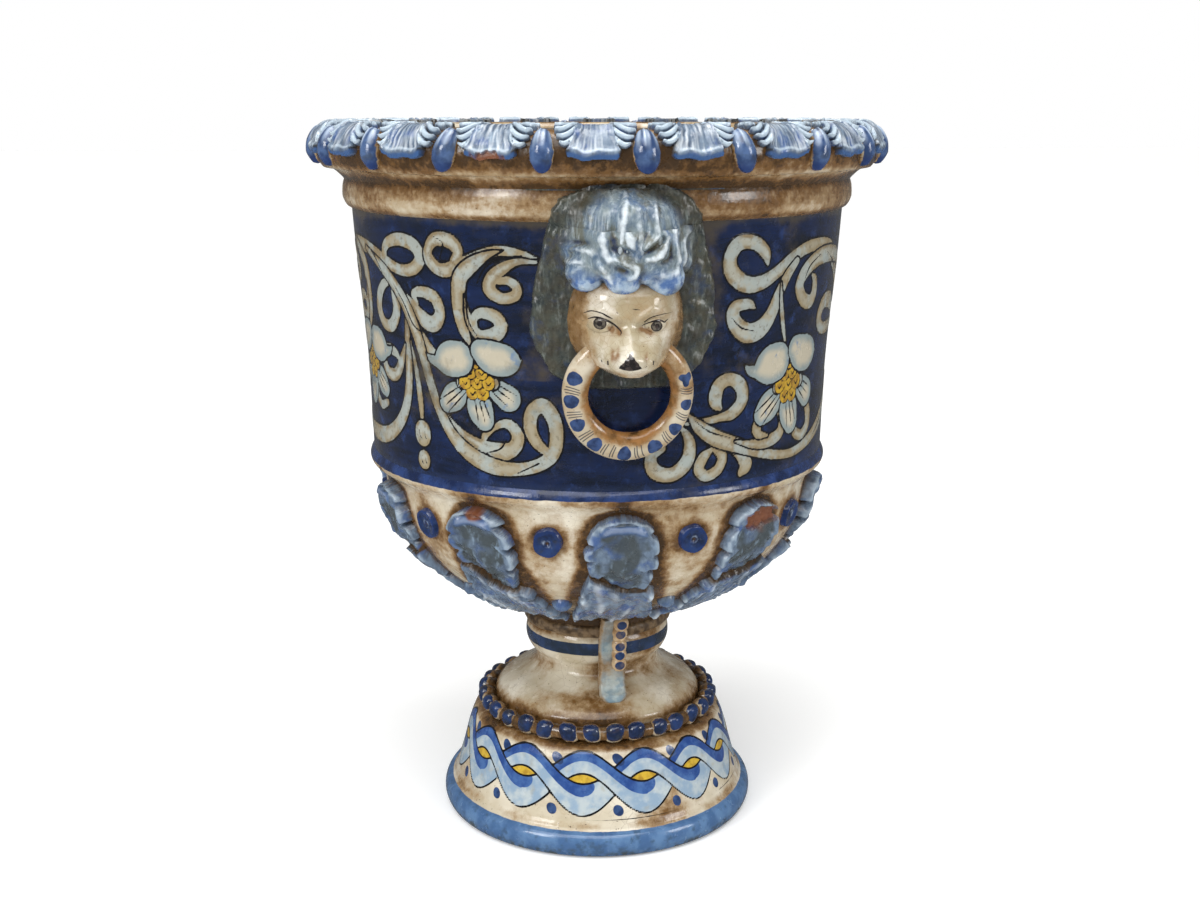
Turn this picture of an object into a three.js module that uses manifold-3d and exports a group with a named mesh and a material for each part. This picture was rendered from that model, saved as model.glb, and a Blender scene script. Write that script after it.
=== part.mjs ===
// Krater vase of tin-glazed earthenware, in millimetres, +Z up.
// The foot stands on z = 0 and the axis of the vase is the Z axis. Azimuth 0 is the -Y side, where one lion
// mask sits, and the other mask is opposite it. Bowl and foot are thrown apart and luted together with slip.
// Every leaf, stud, mask, ring and strap is pressed or rolled on its own and seats on the thrown wall.

import * as THREE from 'three';
import { mergeVertices } from 'three/addons/utils/BufferGeometryUtils.js';
import Module from 'manifold-3d';

const wasm = await Module();
wasm.setup();

// Gap between two pieces that seat on each other
const clearance = 0.3;
// Facets round a thrown piece
const turnSteps = 36;
// How far the back of a cutting copy of a relief lies inside the wall
const buriedDepth = 2;

// Foot
const baseRadius = 110.5;
const baseRimHeight = 16;
const baseRimRound = 8;
const standWidth = 9;
const baseFilletWidth = 3.5;
const baseFilletHeight = 8;
const bellBottomRadius = 99.5;
const bellHeight = 40;
const ledgeWidth = 16;
const ledgeDepth = 12.5;
const ledgeRise = 6;
const shoulderRadius = 72.5;
const shoulderHeight = 24;
const neckRadius = 43.5;
const neckHeight = 14;
const knopRadius = 50.6;
const knopHeight = 24;
const footWall = 9;
const neckBore = 27;

// Joint of foot and bowl
const jointRadius = 46;
const jointRollRadius = 1.6;

// Rope of beads on the foot's ledge
const beadCount = 34;
const beadRadius = 6.4;
const beadWaist = 0.72;
const beadSteps = 2;

// Bowl
const bowlRadius = 146;
const bowlDepth = 100;
const bowlRise = 106;
const bowlNeckRadius = 53;
const mouldingWidth = 10;
const mouldingHeight = 20;
const bandBottomRadius = 153.4;
const bandTopRadius = 162.8;
const bandHeight = 160;
const bandBelly = 0.8;
const collarWidth = 5.6;
const collarHeight = 18.5;
const lipRadius = 184.6;
const lipHeight = 33.5;
const lipHalfWidth = 12;
const lipHalfHeight = 14.5;
const mouthRadius = 150;
const bowlWall = 10;
const floorRadius = 40;

// Leaves and drops round the rim
const rimLeafCount = 20;
const rimLeafTurn = -6.5;
// A leaf runs into the drop of its own sprig by the overlap, and ends short of the next sprig's drop by the gap
const sprigOverlap = 3;
const sprigGap = 0.4;
const rimLeafThickness = 3.6;
const rimLeafCurl = 3.6;
const rimLeafTipDrop = 16.5;
const rimLeafInset = 5;
const dropHalfWidth = 7.8;
const dropLength = 25;
const dropThickness = 6.2;
const dropTipDrop = 21;

// Acanthus leaves and studs under the bowl
const acanthusCount = 10;
const acanthusHalfWidth = 26;
const acanthusBaseThickness = 3.2;
const acanthusFoldThickness = 7.6;
const acanthusBottomDrop = 82;
const acanthusTopRise = 6;
const acanthusFold = 0.52;
const studRadius = 10;
const studThickness = 4.2;
const studHoleRadius = 1.7;
const studDrop = 14;

// Lion mask
const maneHalfWidth = 58;
const maneThickness = 3.4;
const maneBottomRise = 66;
const maneTopRise = 17;
// The plaque is widest at this share of its height; below, it narrows to a share of its width, and above, the
// square of its width falls by a share
const maneWidest = 0.35;
const maneFootShare = 0.72;
const maneHeadLoss = 0.62;
const hairHalfWidth = 37;
const hairStandOut = 29;
const hairHalfHeight = 27;
const hairRise = 150;
const faceHalfWidth = 29;
const faceStandOut = 31;
const faceHalfHeight = 24;
const faceRise = 110;
const muzzleHalfWidth = 20.5;
const muzzleStandOut = 45;
const muzzleHalfHeight = 13;
const muzzleRise = 91;
const bridgeHalfWidth = 10;
const bridgeHalfDepth = 14;
const bridgeHalfHeight = 15;
const browHalfWidth = 25;
const browHalfDepth = 10;
const browHalfHeight = 6.5;
const browRise = 8;

// Ring under the muzzle
const ringMeanRadius = 30.5;
const ringHalfWidth = 7.5;
const ringHalfDepth = 6;
const ringTilt = 12;
const ringRise = 33.5;

// Strap from the bowl down to the foot, with its beaded rib
const strapWidth = 14.5;
const strapThickness = 5;
const strapTopRadius = 62;
const strapToeRadius = 64;
const ribRadius = 4.6;
const ribBeads = 5;

// Colours of the glazes
const creamGlaze = 0xd9ccb0;
const deepBlue = 0x1c2a66;
const leafBlue = 0x6a86b4;
const paleBlue = 0x9fb4c0;
const dropBlue = 0x2f4f9a;
const maneBlue = 0x7f93a8;
const slipBrown = 0x8a6a45;

// Heights that follow from the sizes above
const bellTopZ = baseRimHeight + baseFilletHeight + bellHeight;
const shoulderZ = bellTopZ + ledgeRise + ledgeDepth;
const neckZ = shoulderZ + shoulderHeight;
const jointZ = neckZ + neckHeight / 2 + knopHeight;
const bowlFootZ = jointZ + clearance;
const springZ = jointZ + bowlRise;
const bandBottomZ = springZ + mouldingHeight;
const bandTopZ = bandBottomZ + bandHeight;
const collarTopZ = bandTopZ + collarHeight;
const lipTopZ = collarTopZ + lipHeight;

// The bell ends where the ledge with the rope of beads begins
const bellTopRadius = shoulderRadius + ledgeWidth;

// Half the length of rim that one sprig of leaf and drop takes, and what is left of it beside a drop
const halfPitch = (Math.PI * lipRadius) / rimLeafCount;
const besideDrop = halfPitch - dropHalfWidth;

const radians = THREE.MathUtils.degToRad;
const point = (r, z) => new THREE.Vector2(r, z);

// Points of an elliptical arc about (r, z); 0 degrees points outwards and 90 degrees up
function arc(r, z, wide, tall, from, to, steps) {
  const points = [];
  for (let i = 0; i <= steps; i += 1) {
    const a = radians(THREE.MathUtils.lerp(from, to, i / steps));
    points.push(point(r + wide * Math.cos(a), z + tall * Math.sin(a)));
  }
  return points;
}

// Points along a smooth curve through the given ones
function smooth(points, steps) {
  return new THREE.SplineCurve(points).getPoints(steps);
}

// A closed solid from a geometry, with shared vertices merged and faces turned out
function solidFrom(geometry) {
  const bare = geometry.clone();
  bare.deleteAttribute('normal');
  bare.deleteAttribute('uv');
  const merged = mergeVertices(bare, 1e-4);
  const at = merged.attributes.position.array;
  const index = [];
  let volume = 0;
  for (let i = 0; i < merged.index.count; i += 3) {
    const [a, b, c] = [0, 1, 2].map((k) => merged.index.getX(i + k));
    if (a === b || b === c || c === a) continue;
    index.push(a, b, c);
    const [p, q, r] = [a, b, c].map((k) => new THREE.Vector3().fromArray(at, 3 * k));
    volume += p.dot(q.cross(r));
  }
  if (volume < 0) index.reverse();
  const mesh = new wasm.Mesh({
    numProp: 3,
    vertProperties: new Float32Array(at),
    triVerts: new Uint32Array(index),
  });
  return new wasm.Manifold(mesh);
}

function geometryFrom(solid) {
  const mesh = solid.getMesh();
  const geometry = new THREE.BufferGeometry();
  geometry.setAttribute('position', new THREE.BufferAttribute(mesh.vertProperties, 3));
  geometry.setIndex(new THREE.BufferAttribute(mesh.triVerts, 1));
  geometry.computeVertexNormals();
  return geometry;
}

// A thrown solid: the profile turned about the Z axis
function thrown(profile) {
  const geometry = new THREE.LatheGeometry(profile, turnSteps);
  geometry.rotateX(Math.PI / 2);
  return solidFrom(geometry);
}

// A closed body between a front and a back sheet, each a function of two parameters on a grid
function sheetBody(columns, rows, front, back) {
  const vertices = [];
  const index = [];
  const width = columns + 1;
  const sheet = width * (rows + 1);
  for (const side of [front, back]) {
    for (let j = 0; j <= rows; j += 1) {
      for (let i = 0; i <= columns; i += 1) {
        vertices.push(...side((2 * i) / columns - 1, j / rows).toArray());
      }
    }
  }
  const quad = (a, b, c, d) => index.push(a, b, c, a, c, d);
  for (let j = 0; j < rows; j += 1) {
    for (let i = 0; i < columns; i += 1) {
      const a = j * width + i;
      quad(a, a + 1, a + 1 + width, a + width);
      quad(sheet + a, sheet + a + width, sheet + a + 1 + width, sheet + a + 1);
    }
    const left = j * width;
    const right = left + columns;
    quad(left, left + width, sheet + left + width, sheet + left);
    quad(right, sheet + right, sheet + right + width, right + width);
  }
  for (let i = 0; i < columns; i += 1) {
    const top = rows * width + i;
    quad(i, sheet + i, sheet + i + 1, i + 1);
    quad(top, top + 1, sheet + top + 1, sheet + top);
  }
  const geometry = new THREE.BufferGeometry();
  geometry.setAttribute('position', new THREE.Float32BufferAttribute(vertices, 3));
  geometry.setIndex(index);
  return solidFrom(geometry);
}

// A rod of round section along a path, whose radius changes on the way; a closed path has no ends
function rod(path, radiusAt, sides, closed = false) {
  const vertices = [];
  const index = [];
  const rings = path.length;
  path.forEach((centre, i) => {
    const before = path[closed ? (i + rings - 1) % rings : Math.max(i - 1, 0)];
    const after = path[closed ? (i + 1) % rings : Math.min(i + 1, rings - 1)];
    const along = after.clone().sub(before).normalize();
    const outward = new THREE.Vector3(centre.x, centre.y, 0).normalize();
    const side = along.clone().cross(outward).normalize();
    const up = side.clone().cross(along);
    for (let k = 0; k < sides; k += 1) {
      const a = (2 * Math.PI * k) / sides;
      const ray = side.clone().multiplyScalar(Math.cos(a)).addScaledVector(up, Math.sin(a));
      vertices.push(...centre.clone().addScaledVector(ray, radiusAt(i / (closed ? rings : rings - 1))).toArray());
    }
  });
  const spans = closed ? rings : rings - 1;
  for (let i = 0; i < spans; i += 1) {
    for (let k = 0; k < sides; k += 1) {
      const a = i * sides + k;
      const b = i * sides + ((k + 1) % sides);
      const c = ((i + 1) % rings) * sides + ((k + 1) % sides);
      const d = ((i + 1) % rings) * sides + k;
      index.push(a, b, c, a, c, d);
    }
  }
  if (!closed) {
    const last = (rings - 1) * sides;
    for (let k = 1; k < sides - 1; k += 1) {
      index.push(0, k + 1, k);
      index.push(last, last + k, last + k + 1);
    }
  }
  const geometry = new THREE.BufferGeometry();
  geometry.setAttribute('position', new THREE.Float32BufferAttribute(vertices, 3));
  geometry.setIndex(index);
  return solidFrom(geometry);
}

// A point at an azimuth in degrees, a radius and a height
function place(azimuth, r, z) {
  const a = radians(azimuth);
  return new THREE.Vector3(r * Math.sin(a), -r * Math.cos(a), z);
}

const turned = (solid, azimuth) => solid.rotate([0, 0, azimuth]);

// A profile with its length measured along it, and its outward direction at each point
class Wall {
  constructor(points) {
    this.points = points;
    this.lengths = [0];
    for (let i = 1; i < points.length; i += 1) {
      this.lengths.push(this.lengths[i - 1] + points[i].distanceTo(points[i - 1]));
    }
    this.normals = points.map((p, i) => {
      const before = points[Math.max(i - 1, 0)];
      const after = points[Math.min(i + 1, points.length - 1)];
      const along = after.clone().sub(before).normalize();
      return point(along.y, -along.x);
    });
  }

  get length() {
    return this.lengths[this.lengths.length - 1];
  }

  span(length) {
    let i = 1;
    while (i < this.points.length - 1 && this.lengths[i] < length) i += 1;
    return [i, (length - this.lengths[i - 1]) / (this.lengths[i] - this.lengths[i - 1])];
  }

  at(length) {
    const [i, t] = this.span(length);
    const p = this.points[i - 1].clone().lerp(this.points[i], t);
    const n = this.normals[i - 1].clone().lerp(this.normals[i], t).normalize();
    return { r: p.x, z: p.y, nr: n.x, nz: n.y };
  }

  // Length at which the profile, going up, first reaches a height
  lengthAtHeight(z) {
    for (let i = 1; i < this.points.length; i += 1) {
      const [a, b] = [this.points[i - 1], this.points[i]];
      if (a.y < z && b.y >= z) {
        return THREE.MathUtils.mapLinear(z, a.y, b.y, this.lengths[i - 1], this.lengths[i]);
      }
    }
    return this.length;
  }

  // The lengths from one place to another: both ends, the corners between them, and steps of a given size
  stops(from, to, step) {
    const near = 0.8;
    const corners = this.lengths.filter((length) => length > from + near && length < to - near);
    const found = [from];
    for (const next of [...corners, to]) {
      const last = found[found.length - 1];
      const parts = Math.max(1, Math.ceil((next - last) / step - 0.2));
      for (let k = 1; k <= parts; k += 1) found.push(last + ((next - last) * k) / parts);
    }
    return found;
  }

  radiusAtHeight(z) {
    return this.at(this.lengthAtHeight(z)).r;
  }

  // The same profile moved outwards by a distance, with mitred corners
  grown(distance) {
    return this.points.map((p, i) => {
      if (i === 0 || i === this.points.length - 1) {
        return p.clone().addScaledVector(this.normals[i], distance);
      }
      const a = p.clone().sub(this.points[i - 1]).normalize();
      const b = this.points[i + 1].clone().sub(p).normalize();
      const mitre = point(a.y + b.y, -(a.x + b.x)).normalize();
      return p.clone().addScaledVector(mitre, distance / Math.max(0.5, mitre.dot(point(a.y, -a.x))));
    });
  }
}

// The outside of the foot, from the standing ring up to the joint
const footWallLine = new Wall([
  point(baseRadius - standWidth / 2, 0),
  ...arc(baseRadius - baseRimRound, baseRimHeight / 2, baseRimRound, baseRimHeight / 2, -60, 70, 3),
  point(baseRadius - baseFilletWidth - 2, baseRimHeight + 1),
  point(baseRadius - baseFilletWidth - 3, baseRimHeight + baseFilletHeight - 3),
  ...smooth([
    point(bellBottomRadius + 1.5, baseRimHeight + baseFilletHeight),
    point(THREE.MathUtils.lerp(bellBottomRadius, bellTopRadius, 0.3), bellTopZ - 0.6 * bellHeight),
    point(THREE.MathUtils.lerp(bellBottomRadius, bellTopRadius, 0.55), bellTopZ - 0.32 * bellHeight),
    point(bellTopRadius, bellTopZ),
  ], 3),
  point(bellTopRadius - ledgeDepth / 3, bellTopZ + ledgeRise / 2),
  point(bellTopRadius - ledgeDepth, bellTopZ + ledgeRise),
  point(shoulderRadius + 1, shoulderZ - ledgeDepth / 2),
  point(shoulderRadius, shoulderZ),
  ...smooth([
    point(shoulderRadius - 4, shoulderZ + 5),
    point(THREE.MathUtils.lerp(shoulderRadius, neckRadius, 0.62), shoulderZ + 0.56 * shoulderHeight),
    point(neckRadius + 2, shoulderZ + 0.88 * shoulderHeight),
    point(neckRadius, neckZ),
  ], 4),
  ...smooth([
    point(neckRadius + 1, neckZ + 0.3 * neckHeight),
    point(knopRadius - 1, neckZ + neckHeight),
    point(knopRadius, neckZ + 0.5 * neckHeight + 0.48 * knopHeight),
    point(knopRadius - 1.4, jointZ - 0.22 * knopHeight),
    point(jointRadius, jointZ),
  ], 5),
]);

// The hollow under the foot, from its top in the knop down to the standing ring
const footHollow = [
  point(0, neckZ + neckHeight),
  point(neckBore * 0.7, neckZ + neckHeight - 3),
  point(neckBore, neckZ - 4),
  point(neckBore + footWall, shoulderZ + 0.55 * shoulderHeight - footWall),
  point(shoulderRadius - footWall, shoulderZ - footWall),
  point(bellTopRadius - footWall, bellTopZ - footWall),
  point(bellBottomRadius - footWall, baseRimHeight + baseFilletHeight),
  point(baseRadius - 2 * standWidth, baseRimHeight / 2),
  point(baseRadius - 1.6 * standWidth, 0),
];

// The underside of the bowl is a quarter ellipse, and starts where the ellipse is as wide as the bowl's neck
const bowlStart = -90 + THREE.MathUtils.radToDeg(Math.asin(bowlNeckRadius / bowlRadius));
const mouldingRadius = bowlRadius + mouldingWidth;

// The outside of the bowl, from the joint up and over the lip to the mouth
const bowlWallLine = new Wall([
  point(jointRadius, bowlFootZ),
  point(jointRadius + 4, bowlFootZ + 4),
  point(jointRadius + 4.6, bowlFootZ + 8.5),
  ...arc(0, springZ, bowlRadius, bowlDepth, bowlStart, 0, 8),
  point(bowlRadius + 0.15 * mouldingWidth, springZ + 0.25 * mouldingHeight),
  point(bowlRadius + 0.5 * mouldingWidth, springZ + 0.4 * mouldingHeight),
  point(mouldingRadius - 0.7, springZ + 0.55 * mouldingHeight),
  point(mouldingRadius, springZ + 0.72 * mouldingHeight),
  point(mouldingRadius - 1.4, springZ + 0.88 * mouldingHeight),
  ...smooth([
    point(bandBottomRadius, bandBottomZ),
    point(THREE.MathUtils.lerp(bandBottomRadius, bandTopRadius, 0.34) - bandBelly, bandBottomZ + 0.4 * bandHeight),
    point(THREE.MathUtils.lerp(bandBottomRadius, bandTopRadius, 0.84), bandBottomZ + 0.8 * bandHeight),
    point(bandTopRadius, bandTopZ),
  ], 4),
  point(bandTopRadius + 0.7 * collarWidth, bandTopZ + 2.5),
  point(bandTopRadius + collarWidth, bandTopZ + 0.36 * collarHeight),
  point(bandTopRadius + collarWidth, bandTopZ + 0.8 * collarHeight),
  point(bandTopRadius + 0.78 * collarWidth, collarTopZ),
  point(lipRadius - 10, collarTopZ + 0.2 * lipHeight),
  ...arc(lipRadius - lipHalfWidth, lipTopZ - lipHalfHeight, lipHalfWidth, lipHalfHeight, -50, 80, 4),
  point(THREE.MathUtils.lerp(mouthRadius, lipRadius, 0.35), lipTopZ + 0.3),
  point(mouthRadius + 4, lipTopZ),
  point(mouthRadius + 0.6, lipTopZ - 3),
]);

// The inside of the bowl, from the mouth down to the flat floor
const floorAngle = -THREE.MathUtils.radToDeg(Math.acos(floorRadius / (bowlRadius - bowlWall)));
const bowlInside = [
  point(mouthRadius, lipTopZ - 10),
  point(bandTopRadius - bowlWall, collarTopZ),
  point(bandTopRadius - bowlWall, bandTopZ),
  point(bandBottomRadius - bowlWall, bandBottomZ),
  ...arc(0, springZ, bowlRadius - bowlWall, bowlDepth - bowlWall, 0, floorAngle, 4),
  point(0, springZ - (bowlDepth - bowlWall) * Math.sin(radians(-floorAngle))),
];

const bowlSolid = thrown([point(0, bowlFootZ), ...bowlWallLine.points, ...bowlInside]);
const footSolid = thrown([...footHollow, ...footWallLine.points, point(0, jointZ)]);

// Bowl and foot grown by the clearance, to cut what seats on them
const bowlLine = bowlWallLine.grown(clearance);
const bowlGrown = thrown([point(0, bowlFootZ - clearance), ...bowlLine, point(0, lipTopZ)]);
const footLine = footWallLine.grown(clearance);
const footGrown = thrown([point(0, -clearance), ...footLine, point(0, jointZ + clearance)]);

// A relief on the bowl's wall. Along it, v goes from 0 to 1 between two lengths of the profile; across it,
// u goes from -1 to 1 over the width at v. Its back keeps the clearance to the wall, and grow makes it larger.
function relief({ from, to, azimuth = 0, halfWidth, height, columns, step, grow = 0 }) {
  const stops = bowlWallLine.stops(from - grow, to + grow, step);
  const rows = stops.length - 1;
  const spot = (u, row, standAt) => {
    const length = stops[Math.round(row * rows)];
    const at = bowlWallLine.at(length);
    const v = THREE.MathUtils.clamp((length - from) / (to - from), 0, 1);
    const stand = standAt(u, v);
    const across = ((halfWidth(v, u) + grow) * u) / at.r;
    const turn = azimuth + THREE.MathUtils.radToDeg(across);
    return place(turn, at.r + at.nr * stand, at.z + at.nz * stand);
  };
  const front = (u, row) => spot(u, row, (a, v) => clearance + height(a, v) + grow);
  const back = (u, row) => spot(u, row, () => (grow > 0 ? -buriedDepth : clearance));
  return sheetBody(columns, rows, front, back);
}

// A ball stretched along the three directions, its centre on the -Y side
function ball(r, z, wide, deep, tall, across = 12, down = 8) {
  const geometry = new THREE.SphereGeometry(1, across, down);
  geometry.rotateX(Math.PI / 2);
  geometry.scale(wide, deep, tall);
  geometry.translate(0, -r, z);
  return solidFrom(geometry);
}

// Rim leaf: wraps from the top of the lip down its outside, with finger-like curls on both sides
function rimLeaf() {
  const halfWidth = (v, u) => {
    const widest = u < 0 ? besideDrop - sprigGap : besideDrop + sprigOverlap;
    const fingers = 0.1 * Math.abs(Math.sin(3 * Math.PI * v));
    const taper = v < 0.25 ? 0.7 + 0.92 * v : 0.93 - 0.25 * (v - 0.25);
    return widest * (taper + fingers);
  };
  const height = (u, v) => {
    const lip = rimLeafCurl * Math.max(0, 1 - v / 0.3) ** 2 * (1 - 0.4 * u * u);
    return rimLeafThickness * (1 - 0.35 * u * u) + lip;
  };
  return relief({
    from: bowlWallLine.lengthAtHeight(lipTopZ - rimLeafTipDrop),
    to: bowlWallLine.length - rimLeafInset,
    azimuth: rimLeafTurn,
    halfWidth,
    height,
    columns: 4,
    step: 12,
  });
}

// Drop between two rim leaves, half a leaf's pitch to the side
function rimDrop() {
  const from = bowlWallLine.lengthAtHeight(lipTopZ - dropTipDrop);
  const swell = (v) => Math.sqrt(Math.max(0.06, 1 - (2 * v - 1) ** 2));
  return relief({
    from,
    to: from + dropLength,
    azimuth: rimLeafTurn + 180 / rimLeafCount,
    halfWidth: (v) => dropHalfWidth * swell(v),
    height: (u, v) => 0.8 + dropThickness * swell(v) * Math.sqrt(Math.max(0, 1 - 0.9 * u * u)),
    columns: 3,
    step: 9,
  });
}

// Acanthus leaf: a fan of lobes below, and over it the upper part whose lower edge folds out
function acanthusLeaf(grow = 0) {
  const halfWidth = (v) => {
    const rise = Math.min(1, 0.66 + 2.2 * v);
    const tip = v > 0.8 ? Math.cos(((v - 0.8) / 0.2) * 1.25) : 1;
    const lobes = 1 - 0.13 * Math.abs(Math.cos(3.5 * Math.PI * v));
    return acanthusHalfWidth * rise * tip * lobes;
  };
  const height = (u, v) => {
    const rib = 1.2 * (1 - Math.abs(u));
    if (v < acanthusFold) {
      return acanthusBaseThickness * (0.7 + 0.5 * v) + rib;
    }
    const t = (v - acanthusFold) / (1 - acanthusFold);
    return THREE.MathUtils.lerp(acanthusFoldThickness, acanthusBaseThickness + 1.5, t) * (1 - 0.3 * u * u) + rib;
  };
  return relief({
    from: bowlWallLine.lengthAtHeight(springZ - acanthusBottomDrop),
    to: bowlWallLine.lengthAtHeight(springZ + acanthusTopRise),
    halfWidth,
    height,
    columns: 4,
    step: 16,
    grow,
  });
}

// Stud: a flat button with a small hole in its middle, its axis square to the wall
function stud(azimuth) {
  const profile = [
    point(0, studThickness * 0.4),
    point(studHoleRadius, studThickness * 0.4),
    point(studHoleRadius, studThickness * 0.9),
    point(studRadius * 0.6, studThickness),
    point(studRadius, studThickness * 0.55),
    point(studRadius, 0),
    point(0, 0),
  ];
  const at = bowlWallLine.at(bowlWallLine.lengthAtHeight(springZ - studDrop));
  const geometry = new THREE.LatheGeometry(profile, 10);
  geometry.rotateX(Math.PI / 2);
  geometry.rotateX(Math.PI / 2 - Math.atan2(at.nz, at.nr));
  geometry.translate(0, -(at.r + at.nr * clearance), at.z + at.nz * clearance);
  return turned(solidFrom(geometry), azimuth);
}

// Mane: a low plaque on the wall with a dome of curls over the forehead
const wallAt = (rise) => bowlWallLine.radiusAtHeight(bandBottomZ + rise);
function mane(grow = 0) {
  const plaque = relief({
    from: bowlWallLine.lengthAtHeight(bandBottomZ + maneBottomRise),
    to: bowlWallLine.lengthAtHeight(bandTopZ + maneTopRise),
    halfWidth: (v) => maneHalfWidth * (v < maneWidest
      ? THREE.MathUtils.lerp(maneFootShare, 1, v / maneWidest)
      : Math.sqrt(1 - maneHeadLoss * ((v - maneWidest) / (1 - maneWidest)) ** 2)),
    height: (u) => maneThickness * (1 - 0.25 * u * u),
    columns: 8,
    step: 40,
    grow,
  });
  const hair = ball(
    wallAt(hairRise),
    bandBottomZ + hairRise,
    hairHalfWidth + grow,
    hairStandOut + grow,
    hairHalfHeight + grow,
  );
  return plaque.add(grow > 0 ? hair : hair.subtract(bowlGrown));
}

// Ring: a rolled ring of flattened section, leaning out from the wall towards its top
const ringBottomZ = bandBottomZ + ringRise;
const ringBottomRadius = bowlWallLine.radiusAtHeight(ringBottomZ) + clearance + ringHalfDepth + 0.4;
const ringCentreRadius = ringBottomRadius + ringMeanRadius * Math.sin(radians(ringTilt));
const ringCentreZ = ringBottomZ + ringMeanRadius * Math.cos(radians(ringTilt));
function ring(grow = 0) {
  const geometry = new THREE.TorusGeometry(ringMeanRadius, ringHalfWidth + grow, 8, 24);
  geometry.scale(1, 1, (ringHalfDepth + grow) / (ringHalfWidth + grow));
  geometry.rotateX(Math.PI / 2 + radians(ringTilt));
  geometry.translate(0, -ringCentreRadius, ringCentreZ);
  return solidFrom(geometry);
}

// The mouth: the space under the muzzle, open downwards and to the wall, in which the top of the ring lies
function mouth() {
  const slotHeight = 2 * muzzleHalfHeight;
  const topZ = ringCentreZ + ringMeanRadius * Math.cos(radians(ringTilt));
  const topRadius = ringCentreRadius + ringMeanRadius * Math.sin(radians(ringTilt));
  const geometry = new THREE.BoxGeometry(4 * muzzleHalfWidth, muzzleStandOut, slotHeight);
  geometry.translate(0, muzzleStandOut / 2 - ringHalfDepth - clearance, -slotHeight / 2);
  geometry.rotateX(radians(ringTilt));
  geometry.translate(0, -topRadius, topZ);
  return solidFrom(geometry);
}

// Face: forehead, brow, bridge of the nose and muzzle, seated on the mane and the wall
function face() {
  const faceZ = bandBottomZ + faceRise;
  const muzzleZ = bandBottomZ + muzzleRise;
  const muzzleDepth = muzzleStandOut * 0.62;
  const muzzleRadius = wallAt(muzzleRise) + muzzleStandOut - muzzleDepth;
  const bridgeRadius = wallAt(faceRise) + 0.68 * faceStandOut;
  const bridgeZ = (faceZ + muzzleZ) / 2 + 2;
  const browRadius = wallAt(faceRise) + 0.6 * faceStandOut;
  const skull = ball(wallAt(faceRise), faceZ, faceHalfWidth, faceStandOut, faceHalfHeight);
  const muzzle = ball(muzzleRadius, muzzleZ, muzzleHalfWidth, muzzleDepth, muzzleHalfHeight);
  const bridge = ball(bridgeRadius, bridgeZ, bridgeHalfWidth, bridgeHalfDepth, bridgeHalfHeight, 8, 6);
  const brow = ball(browRadius, faceZ + browRise, browHalfWidth, browHalfDepth, browHalfHeight, 8, 6);
  return skull.add(muzzle).add(bridge).add(brow)
    .subtract(mane(clearance))
    .subtract(bowlGrown)
    .subtract(ring(clearance))
    .subtract(mouth());
}

// Strap: a flat ribbon from under the bowl, past the knop, down to the foot's shoulder
const strapLine = new THREE.SplineCurve([
  point(strapTopRadius, springZ - 0.92 * bowlDepth),
  point(knopRadius + 5.6, jointZ + 3),
  point(knopRadius + 3.6, jointZ - 0.36 * knopHeight),
  point(knopRadius + 3.2, neckZ + 0.5 * neckHeight),
  point(knopRadius + 5, neckZ - 0.4 * neckHeight),
  point(strapToeRadius, shoulderZ + 0.38 * shoulderHeight),
]);
function strap(grow = 0) {
  const half = strapThickness / 2 + grow;
  const spot = (u, v, stand) => {
    const p = strapLine.getPoint(v);
    const along = strapLine.getTangent(v);
    const round = v > 0.86 ? Math.sqrt(Math.max(0.2, 1 - ((v - 0.86) / 0.15) ** 2)) : 1;
    const r = p.x - along.y * stand;
    const z = p.y + along.x * stand;
    return new THREE.Vector3((strapWidth / 2 + grow) * round * u, -r, z);
  };
  return sheetBody(2, 10, (u, v) => spot(u, v, half * (1 - 0.25 * u * u)), (u, v) => spot(u, v, -half));
}

// Rib: a rod of beads in front of the strap, drawn in to it at its lower end
function rib() {
  const steps = 3 * ribBeads;
  const path = [];
  for (let i = 0; i <= steps; i += 1) {
    const v = THREE.MathUtils.lerp(0.04, 0.7, i / steps);
    const p = strapLine.getPoint(v);
    const along = strapLine.getTangent(v);
    const stand = strapThickness / 2 + clearance + ribRadius;
    path.push(new THREE.Vector3(0, -(p.x - along.y * stand), p.y + along.x * stand));
  }
  return rod(path, (t) => ribRadius * (0.72 + 0.28 * Math.abs(Math.sin(ribBeads * Math.PI * t))), 6);
}

// Rope of beads: a rod closed on itself, pinched between the beads, in the corner of ledge and shoulder
function beadRope() {
  const steps = beadCount * beadSteps;
  const path = [];
  const r = shoulderRadius + 1 + clearance + beadRadius;
  const z = bellTopZ + ledgeRise + clearance + beadRadius;
  for (let i = 0; i < steps; i += 1) path.push(place((360 * i) / steps, r, z));
  const radiusAt = (t) => {
    const swell = Math.abs(Math.sin(beadCount * Math.PI * t));
    return beadRadius * THREE.MathUtils.lerp(beadWaist, 1, swell);
  };
  return rod(path, radiusAt, 6, true);
}

// Roll of slip in the groove between foot and bowl
function jointRoll() {
  const deep = point(jointRadius + 0.5, jointZ + clearance / 2);
  const low = footLine[footLine.length - 2];
  const high = bowlLine[1];
  const out = point(Math.max(low.x, high.x) + jointRollRadius, (low.y + high.y) / 2);
  return thrown([deep, low, out, high, deep]);
}

const vase = new THREE.Group();
vase.name = 'krater_vase';

function add(name, solid, color, roughness) {
  const material = new THREE.MeshStandardMaterial({ color, roughness, metalness: 0 });
  const mesh = new THREE.Mesh(geometryFrom(solid), material);
  mesh.name = name;
  vase.add(mesh);
}

add('foot', footSolid, creamGlaze, 0.3);
add('foot_bead_band', beadRope(), deepBlue, 0.3);
add('joint_roll', jointRoll(), slipBrown, 0.6);
add('bowl', bowlSolid, creamGlaze, 0.3);

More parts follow.
